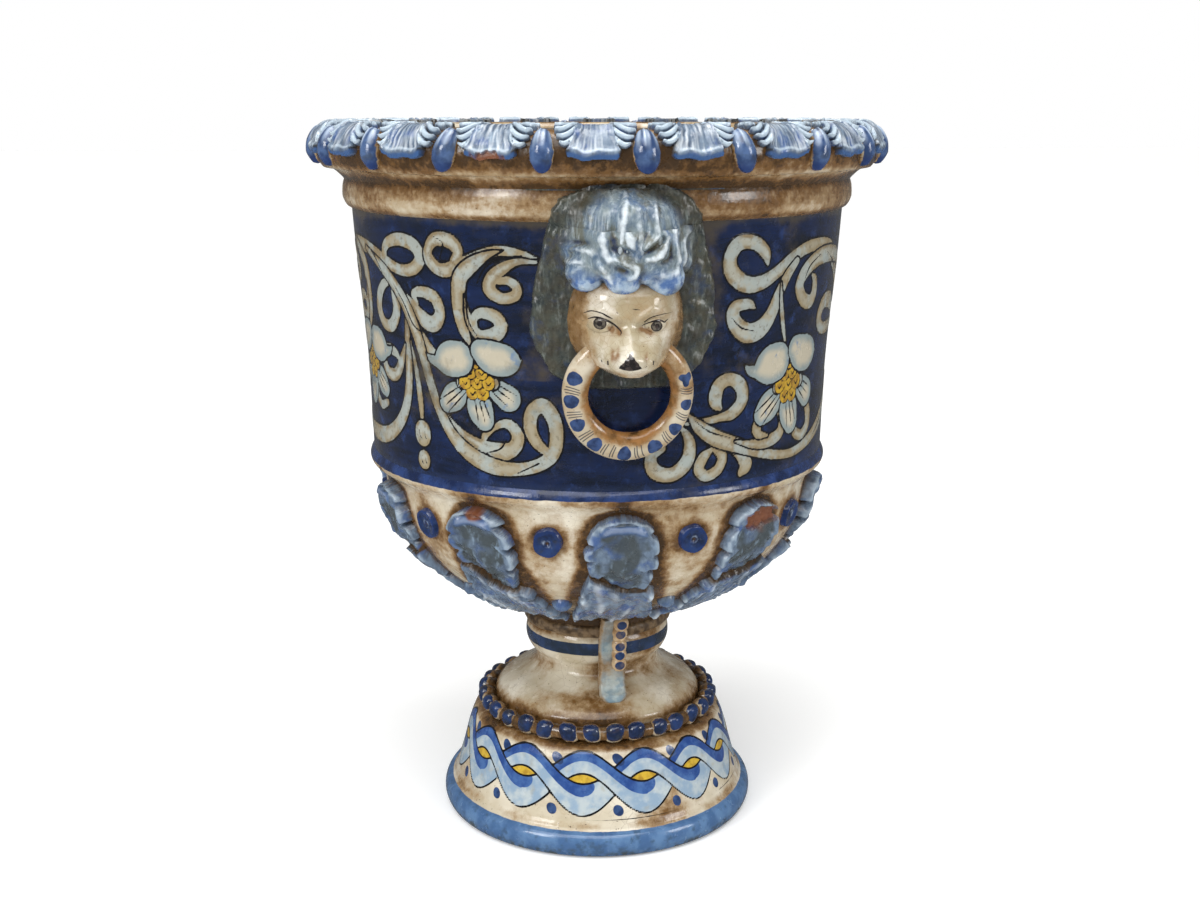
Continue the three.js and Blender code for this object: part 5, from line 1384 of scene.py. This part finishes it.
def face_piece(side, turn, glazes):
    """Face: a depth for each height times a blunt arch across, with bell curves for its features."""
    z = np.linspace(339.6, 391, 176)
    across = np.radians(np.linspace(-90, 90, 180))[None, :]
    wide, far = (np.interp(z, FACE_HEIGHTS, widths)[:, None] for widths in (FACE_WIDTHS, FACE_BACKS))
    deep = blurred(np.interp(z, DEPTH_HEIGHTS, DEPTHS)[:, None].repeat(15, 1), 6)[:, :1]
    x = np.sin(across) * (wide + (far - wide) * (1 - np.cos(across)) ** 2)
    gz = np.broadcast_to(z[:, None], x.shape)
    out = deep * np.sqrt(np.clip(1 - np.abs(np.sin(across)) ** 2.4, 0, None))
    a, n = np.abs(x + 1.7), np.abs(x + 1.6)
    out = out - 3.6 * np.exp(-(((a - 12) / 8) ** 2) - ((gz - 366.6) / 4.6) ** 2)
    out = out + 2.8 * dome((a - 15.8) / 6.8, (gz - 367.8) / 4)
    brow = np.interp(a, [0, 6, 14, 25], [369, 371.5, 377, 374])
    out = out + 2.0 * bump(gz - brow, 3.2) * rise(a, 2, 7) * rise(a, 30, 22)
    out = out + 1.5 * bump(gz - 383, 4) * bump(x - 15, 11)
    out = out + 2.2 * np.exp(-((n / 5) ** 2)) * rise(gz, 346, 353) * rise(gz, 384, 372)
    out = out + 1.5 * np.exp(-((n / 6.5) ** 2) - ((gz - 348.6) / 3.6) ** 2)
    out = out + 1.6 * np.exp(-(((n - 12) / 5.5) ** 2) - ((gz - 348) / 4) ** 2)
    out = out - 1.2 * np.exp(-(((n - 8.6) / 1.6) ** 2) - ((gz - 348) / 3) ** 2)
    front = np.stack([x, -(FACE_PLANE + out), gz], -1)
    keep = np.linspace(0, len(z) - 1, BACK_ROWS).astype(int)
    back = np.stack([x[keep], np.full_like(x[keep], 6 - FACE_PLANE), gz[keep]], -1)
    points = front.reshape(-1, 3)
    patch = 0.5 * wave(points, 5, 52, 3).reshape(x.shape)
    fields = {"ink": face_ink(x, gz)}
    eyes = [np.hypot(x - cx, (gz - cz) / flat) - size for cx, cz, flat, size in EYES]
    pupils = [np.hypot(x - cx, gz - cz) - size for cx, cz, size in PUPILS]
    fields["iris"] = np.minimum.reduce(eyes)
    fields["ink"] = np.minimum.reduce([fields["ink"], *pupils])
    rims = np.abs(fields["iris"] + 0.25) - 0.28
    fields["ink"] = np.minimum(fields["ink"], rims)
    lower = np.hypot((x + 9.2 + 0.8 * (gz - 365.5)) / 4.4, (gz - 365.4) / 2.2)
    beside = np.hypot((x - 8.5) / 4.6, (gz - 364.8 + 0.28 * (x - 8.5)) / 1.9)
    nose_side = np.hypot((x + 10.4) / 2.7, (gz - 352.8 - 0.4 * (x + 10.4)) / 4.4)
    other = np.hypot((x - 6.4) / 2.2, (gz - 352.4) / 3.6)
    umber = np.maximum(bump(lower, 1.15), bump(beside, 1.15))
    umber = np.maximum(umber, np.maximum(0.85 * bump(nose_side, 0.95), 0.6 * bump(other, 0.95)))
    fields["umber"] = umber * (1 + patch)
    # Dirt and painted shade: darker on the sides that turn away, under the nose, under the hair, on the left
    # side and in the brow groove; a painted highlight down the nose and muzzle.
    dirt_and_shade = 0.04 + 0.14 * wave(points, 22, 51, 3).reshape(x.shape) + 0.85 * rise(np.abs(across), 0.85, 1.45)
    dirt_and_shade = dirt_and_shade + 0.3 * rise(gz, 346, 340) + 0.3 * bump(gz - 390, 3)
    dirt_and_shade = dirt_and_shade + 0.3 * bump(x + 27, 4) * rise(gz, 352, 372)
    dirt_and_shade = dirt_and_shade + 0.2 * bump(np.hypot((x - 3) / 6, (gz - 377) / 8), 1)
    fields["dirt_and_shade"] = dirt_and_shade - 0.3 * np.exp(-((n / 8) ** 2) - ((gz - 359) / 9) ** 2)
    far_values = {"dirt_and_shade": 0.9, "umber": 0.0}
    values = {name: both(field, behind=far_values.get(name, FAR)) for name, field in fields.items()}
    body_points, faces = tube(front, back)
    body = turned(body_points, turn), faces
    make(f"face_{side}", body, glazes["face"], f"lion_face_{side}", values)


def face_ink(x, z):
    """Distance to the painted lids, brows, nose and whisker dots, in millimetres."""
    ink = np.full(x.shape, FAR)
    for line in FACE_LINES:
        path = spline(line, 6)
        for a, b in zip(path, path[1:]):
            away, _, half = from_segment(x, z, a, b)
            ink = np.minimum(ink, away - half)
    side = np.abs(x + 2.4)
    slope = (side * 1.3 + z - 354.4 + 0.25 * np.sin(x * 2.7) + 0.2 * np.sin(x * 5.1 + 1)) * 0.6
    nose = np.maximum(np.maximum(344.6 - z + 0.03 * side**2, slope), side - 6.4)
    return np.minimum(ink, nose)


RING_CENTRE = (1.8, -166.9, 325.6)
RING_TILT = 10.0
RING_SPOTS = (161, 184, 209, 235, 265, 295, 322, 350, 18)  # degrees round the ring
RING_DEGREE = 0.56  # millimetres along the ring for a degree
SECTION_DEGREE = 0.115  # millimetres round its section for a degree
SPOT_SECTION = 66.0  # place of the spots round the section
ODD_SPOT = 18  # this spot has three corners
LINE_OFFSETS = {235: (-3.4, -1.9, 1.4, 2.8), 265: (-2.4, -1, 1.6), 18: ()}


def ring_piece(side, turn, glazes):
    """Ring: an ellipse carried round a tilted circle, both larger at the bottom, with sines as lumps."""
    rows, columns = 480, 64
    theta = np.radians(np.linspace(0, 360, rows, endpoint=False))[:, None]
    phi = np.radians(np.linspace(0, 360, columns, endpoint=False))[None, :]
    tilt = np.radians(RING_TILT)
    up, normal = np.array([0, -np.sin(tilt), np.cos(tilt)]), np.array([0, -np.cos(tilt), -np.sin(tilt)])
    lump = 1 + 0.02 * np.sin(3 * theta + 1) + 0.012 * np.sin(7 * theta)
    low = np.clip(-np.sin(theta), 0, 1) ** 2
    middle = 31.2 + 1.9 * low - 0.9 * np.cos(theta)
    thick = 7.3 + 1.2 * low - 0.6 * np.cos(theta)
    radius = middle + thick * np.cos(phi) * lump
    out = 5.8 * np.sin(phi) * lump
    flat = radius[..., None] * (np.cos(theta)[..., None] * [1, 0, 0] + np.sin(theta)[..., None] * up)
    points = (np.array(RING_CENTRE) + flat + out[..., None] * normal).reshape(-1, 3)
    along = np.degrees(theta) * np.ones_like(phi)
    section = np.degrees(period(phi, 2 * np.pi)) * np.ones_like(theta)
    spot, line = np.full(along.shape, FAR), np.full(along.shape, FAR)
    rng = np.random.default_rng(61)
    gaps = np.diff([*RING_SPOTS, RING_SPOTS[0] + 360]) % 360
    for angle, gap in zip(RING_SPOTS, gaps):
        ahead = period(along - angle, 360) * RING_DEGREE
        beside = (section - SPOT_SECTION) * SECTION_DEGREE
        size = rng.uniform(0.9, 1.1, 2)
        reach = 1 + 0.3 * np.sin(3 * np.arctan2(beside, ahead) + angle) * (angle == ODD_SPOT)
        shape = (np.hypot(ahead / (3.8 * size[0]), beside / (4.1 * size[1])) / reach - 1) * 3.8
        spot = np.minimum(spot, shape)
        middle_of_gap = 0.28 * gap + rng.uniform(-0.5, 0.5)
        lean = rng.uniform(-0.12, 0.12)
        for offset in LINE_OFFSETS.get(angle, (-1.5, 0, 1.5)):
            bent = np.abs(ahead - middle_of_gap - offset - 0.035 * beside**2 - lean * beside)
            reach_out = 4.6 - 0.5 * abs(offset)
            line = np.minimum(line, np.maximum(bent - 0.26, np.abs(beside - 0.4) - reach_out))
    inner = rise(section * np.sign(section), 90, 150)
    dirt_and_shade = 0.04 + 0.2 * wave(points, 18, 62, 3).reshape(along.shape) + 0.8 * inner
    # Painted shade on the upper part, where the ring runs under the muzzle.
    dirt_and_shade = dirt_and_shade + 0.85 * bump(period(along - 90, 360), 52) * rise(period(along - 90, 360), 64, 30)
    dirt_and_shade = dirt_and_shade + 0.5 * rise(np.cos(phi), 0.2, -0.7) * bump(period(along - 265, 360), 26)
    body = turned(points, turn), [grid_faces(rows, columns, True, True)]
    fields = {"spot": spot.ravel(), "line": line.ravel(), "dirt_and_shade": dirt_and_shade.ravel()}
    make(f"ring_{side}", body, glazes["ring"], f"mask_ring_{side}", fields)


STRAP_LINE = [(62, 151.5), (56.2, 140.5), (54.2, 128.9), (53.8, 113.5), (55.6, 100.9), (64, 91.6)]
RIB_HEIGHTS = (149.0, 141.0, 131.5, 125.0, 118.0)
STRAP_AZIMUTH = 4.6
STRAP_HALF = 2.4  # half the thickness of the ribbon
RIB_X = 4.0  # the rib lies to the right of the middle of the ribbon
RIB_BEAD = (5.2, 4.4, 5.6)  # half axes
RIB_LINK = (4.3, 3.6, 5.0)
WIDTH_PLACES = [0, 0.3, 0.55, 0.75, 0.9, 1]  # shares of the ribbon's length
HALF_WIDTHS = [8.2, 8.8, 8.6, 9.2, 9.6, 9.4]


def strap_pieces(side, turn, glazes):
    """Strap: a half width times sine across, carried down a smooth line, and a rib of balls on it."""
    turn += STRAP_AZIMUTH
    path = spline(STRAP_LINE, 16)
    length = np.concatenate([[0], np.cumsum(np.linalg.norm(np.diff(path, axis=0), axis=1))])
    along = np.gradient(path, length, axis=0)
    normal = np.stack([-along[:, 1], along[:, 0]], 1) / np.linalg.norm(along, axis=1)[:, None]
    v = length / length[-1]
    end = np.sqrt(np.clip(1 - np.clip((v - 0.9) / 0.104, 0, 1) ** 2, 0.01, None))
    half = np.interp(v, WIDTH_PLACES, HALF_WIDTHS) * (0.25 + 0.75 * end)
    u = np.sin(np.radians(np.linspace(-90, 90, 25)))
    x = half[:, None] * u
    rim = 0.9 * bump(np.abs(u) - 0.82, 0.16)[None, :] + 0.8 * bump(v - 0.95, 0.03)[:, None]
    thick = STRAP_HALF * np.sqrt(np.clip(1 - np.abs(u) ** 4, 0, None))[None, :] * end[:, None]
    thick = thick + rim * end[:, None] * (1 - u**8)
    front, back = (
        np.stack([x, -(path[:, :1] + normal[:, :1] * out), path[:, 1:] + normal[:, 1:] * out], -1)
        for out in (thick, np.full_like(x, -STRAP_HALF)))
    back_rows = 30
    keep = np.linspace(0, len(path) - 1, back_rows).astype(int)
    points, faces = tube(front, back[keep])
    # Dirt and painted shade, darker at two places along the strap and along its edges.
    dirt_and_shade = (0.5 * bump(v - 0.58, 0.12) + 0.25 * bump(v - 0.1, 0.2))[:, None]
    dirt_and_shade = dirt_and_shade + 0.4 * bump(np.abs(u) - 1, 0.16)[None, :]
    fields = {"rib": 0.0, "spot": FAR, "dirt_and_shade": both(dirt_and_shade, back_rows, 0.8)}
    body = turned(points, turn), faces
    make(f"strap_{side}_ribbon", body, glazes["strap"], f"strap_{side}", fields)
    parts, spots = [], []
    order = np.argsort(path[:, 1])
    for n, z in enumerate(RIB_HEIGHTS):
        r = np.interp(z, path[order, 1], path[order, 0]) + 6.0
        body = ball((RIB_X, -r, z), np.diag(RIB_BEAD), 20, 28)
        parts.append(body)
        local = body[0] - [RIB_X, -r, z]
        spot = np.hypot(local[:, 0] / 3.4, (local[:, 2] + 0.3) / 3.0) - 1
        spots.append(3 * np.where(local[:, 1] < 0, spot, 1.0))
        if n:
            middle = 0.5 * (z + RIB_HEIGHTS[n - 1])
            body = ball((RIB_X, -r + 0.4, middle), np.diag(RIB_LINK), 14, 20)
            parts.append(body)
            spots.append(np.full(len(body[0]), 3.0))
    points, faces = joined(parts)
    dirt_and_shade = 0.05 + 0.2 * wave(points, 9, 71, 3)
    fields = {"rib": 1.0, "spot": np.concatenate(spots), "dirt_and_shade": dirt_and_shade}
    body = turned(points, turn), faces
    make(f"strap_{side}_rib", body, glazes["strap"], f"strap_rib_{side}", fields)


class BowlSettings(bpy.types.PropertyGroup):
    columns: bpy.props.IntProperty(
        name="Columns", description="Facets round the thrown bowl", default=360, min=48)
    band_columns: bpy.props.IntProperty(
        name="Band columns", description="Columns of points in a quarter of the band", default=264, min=32)
    band_rows: bpy.props.IntProperty(
        name="Band rows", description="Rows of points up the band", default=166, min=16)
    foot_columns: bpy.props.IntProperty(
        name="Foot columns", description="Facets round the painted foot", default=500, min=48)
    line: bpy.props.FloatProperty(
        name="Line", description="Half width of the painted outlines in millimetres", default=0.62, min=0.1)


class LeafSettings(bpy.types.PropertyGroup):
    rim_count: bpy.props.IntProperty(
        name="Rim leaves", description="Leaves round the rim", default=20, min=1, max=20)
    acanthus_count: bpy.props.IntProperty(
        name="Acanthus leaves", description="Leaves and studs under the bowl", default=10, min=1, max=10)


class StageSettings(bpy.types.PropertyGroup):
    lens: bpy.props.FloatProperty(
        name="Lens", description="Focal length in millimetres", default=45.0, min=10)
    tilt: bpy.props.FloatProperty(
        name="Tilt", description="How far the camera looks down", default=np.radians(12.99), unit="ROTATION")
    heading: bpy.props.FloatProperty(
        name="Heading", description="Turn of the camera round the vase", default=np.radians(6),
        unit="ROTATION")
    distance: bpy.props.FloatProperty(
        name="Distance", description="From the axis of the vase to the camera", default=1.02, unit="LENGTH")
    height: bpy.props.FloatProperty(
        name="Height", description="Height of the camera over the floor", default=0.489, unit="LENGTH")


glaze_makers = {
    "cream": cream_glaze, "band": band_glaze, "bell": bell_glaze, "leaf": leaf_glaze,
    "blue": blue_glaze, "drop": drop_glaze, "mane": mane_glaze, "face": face_glaze,
    "ring": ring_glaze, "strap": strap_glaze, "slip": slip_glaze,
}
glazes = {}


class VaseBuilder:
    """What the operators of the vase have in common."""

    bl_options = {"REGISTER", "UNDO"}

    def execute(self, context):
        for name, maker in glaze_makers.items():
            if name not in glazes:
                glazes[name] = maker()
        self.build(context.scene)
        return {"FINISHED"}


class VASE_OT_bowl(VaseBuilder, bpy.types.Operator):
    """Build the thrown bowl and its painted band"""

    bl_idname = "vase.bowl"
    bl_label = "Bowl"

    def build(self, scene):
        bowl_pieces(scene.vase_bowl, glazes)


class VASE_OT_foot(VaseBuilder, bpy.types.Operator):
    """Build the painted foot, its rope of beads and the slip of the joint"""

    bl_idname = "vase.foot"
    bl_label = "Foot"

    def build(self, scene):
        foot_piece(scene.vase_bowl, glazes)
        bead_piece(glazes)
        joint_piece(glazes)


class VASE_OT_rim_leaves(VaseBuilder, bpy.types.Operator):
    """Build the leaves and drops round the rim"""

    bl_idname = "vase.rim_leaves"
    bl_label = "Rim leaves"

    def build(self, scene):
        for k in range(scene.vase_leaves.rim_count):
            rim_leaf(k, glazes)


class VASE_OT_acanthus(VaseBuilder, bpy.types.Operator):
    """Build the acanthus leaves, buds and studs under the bowl"""

    bl_idname = "vase.acanthus"
    bl_label = "Acanthus"

    def build(self, scene):
        for k in range(scene.vase_leaves.acanthus_count):
            acanthus_leaf(k, glazes)
            stud_piece(k, glazes)


class VASE_OT_masks(VaseBuilder, bpy.types.Operator):
    """Build the two lion masks with their rings and straps"""

    bl_idname = "vase.masks"
    bl_label = "Lion masks"

    def build(self, scene):
        for side, turn in (("front", 0), ("back", 180)):
            mane_piece(side, turn, glazes)
            face_piece(side, turn, glazes)
            ring_piece(side, turn, glazes)
            strap_pieces(side, turn, glazes)


class VASE_OT_stage(bpy.types.Operator):
    """Set up the floor, the soft lights, the white background and the camera"""

    bl_idname = "vase.stage"
    bl_label = "Stage"

    def execute(self, context):
        scene = context.scene
        settings = scene.vase_stage
        floor = Glaze("floor")
        floor.put(floor.shader.inputs["Base Color"], (0.93, 0.93, 0.92, 1))
        floor.put(floor.shader.inputs["Roughness"], 0.7)
        seen = floor.add("ShaderNodeLightPath", {}, "Is Camera Ray")
        floor.put(floor.shader.inputs["Emission Color"], (1, 1, 1, 1))
        floor.put(floor.shader.inputs["Emission Strength"], floor.scaled(seen, 0.2))
        mesh = bpy.data.meshes.new("floor")
        corners = [(-9, -2, -0.0005), (9, -2, -0.0005), (9, 16, -0.0005), (-9, 16, -0.0005)]
        mesh.from_pydata(corners, [], [(0, 1, 2, 3)])
        mesh.materials.append(floor.material)
        ground = bpy.data.objects.new("floor", mesh)
        scene.collection.objects.link(ground)
        ground.visible_glossy = False
        lights = (
            ("left", (-1.5, -1.3, 1.1), 0.7, 14),
            ("right", (1.6, -1.1, 0.8), 0.6, 8),
            ("top", (0.1, -0.3, 2.0), 1.0, 12),
        )
        for name, spot, size, power in lights:
            light = bpy.data.lights.new(name, "AREA")
            light.size = size
            light.energy = power
            lamp = bpy.data.objects.new(name, light)
            lamp.location = spot
            towards = -np.array(spot) + [0, 0, 0.27]
            tip = np.pi / 2 + np.arctan2(towards[2], np.hypot(towards[0], towards[1]))
            lamp.rotation_euler = (tip, 0, np.arctan2(-towards[0], towards[1]))
            scene.collection.objects.link(lamp)
        sky = bpy.data.lights.new("sky", "SUN")
        sky.angle = np.radians(60)
        sky.energy = 1.9
        sun = bpy.data.objects.new("sky", sky)
        sun.rotation_euler = (np.radians(26), 0, np.radians(-20))
        scene.collection.objects.link(sun)
        world = bpy.data.worlds.new("white")
        world.use_nodes = True
        tree = world.node_tree
        background = tree.nodes["Background"]
        background.inputs["Color"].default_value = (1, 1, 1, 1)
        seen = tree.nodes.new("ShaderNodeLightPath")
        shine = tree.nodes.new("ShaderNodeMapRange")
        shine.inputs["To Min"].default_value = 0.42
        shine.inputs["To Max"].default_value = 0.14
        strength = tree.nodes.new("ShaderNodeMapRange")
        strength.inputs["To Max"].default_value = 1.0
        tree.links.new(seen.outputs["Is Glossy Ray"], shine.inputs["Value"])
        tree.links.new(shine.outputs[0], strength.inputs["To Min"])
        tree.links.new(seen.outputs["Is Camera Ray"], strength.inputs["Value"])
        tree.links.new(strength.outputs[0], background.inputs["Strength"])
        scene.world = world
        lens = bpy.data.cameras.new("camera")
        lens.lens = settings.lens
        lens.sensor_width = 36
        lens.shift_x = 0.0025
        camera = bpy.data.objects.new("camera", lens)
        away, heading = settings.distance, settings.heading
        camera.location = (-away * np.sin(heading), -away * np.cos(heading), settings.height)
        camera.rotation_euler = (np.pi / 2 - settings.tilt, 0, -heading)
        scene.collection.objects.link(camera)
        scene.camera = camera
        scene.view_settings.view_transform = "Standard"
        return {"FINISHED"}


class VASE_PT_panel(bpy.types.Panel):
    """Sidebar panel of the krater vase"""

    bl_idname = "VASE_PT_panel"
    bl_label = "Krater Vase"
    bl_space_type = "VIEW_3D"
    bl_region_type = "UI"
    bl_category = "Krater"

    def draw(self, context):
        scene = context.scene
        for group in (scene.vase_bowl, scene.vase_leaves, scene.vase_stage):
            box = self.layout.box()
            for name in group.__annotations__:
                box.prop(group, name)
        for operator in operators:
            self.layout.operator(operator.bl_idname)


groups = (BowlSettings, LeafSettings, StageSettings)
operators = (VASE_OT_bowl, VASE_OT_foot, VASE_OT_rim_leaves, VASE_OT_acanthus, VASE_OT_masks, VASE_OT_stage)


def register():
    for kind in (*groups, *operators, VASE_PT_panel):
        bpy.utils.register_class(kind)
    bpy.types.Scene.vase_bowl = bpy.props.PointerProperty(type=BowlSettings)
    bpy.types.Scene.vase_leaves = bpy.props.PointerProperty(type=LeafSettings)
    bpy.types.Scene.vase_stage = bpy.props.PointerProperty(type=StageSettings)


def unregister():
    del bpy.types.Scene.vase_stage
    del bpy.types.Scene.vase_leaves
    del bpy.types.Scene.vase_bowl
    for kind in reversed((*groups, *operators, VASE_PT_panel)):
        bpy.utils.unregister_class(kind)


def main():
    register()
    bpy.ops.vase.bowl()
    bpy.ops.vase.foot()
    bpy.ops.vase.rim_leaves()
    bpy.ops.vase.acanthus()
    bpy.ops.vase.masks()
    bpy.ops.vase.stage()


if __name__ == "__main__":
    main()
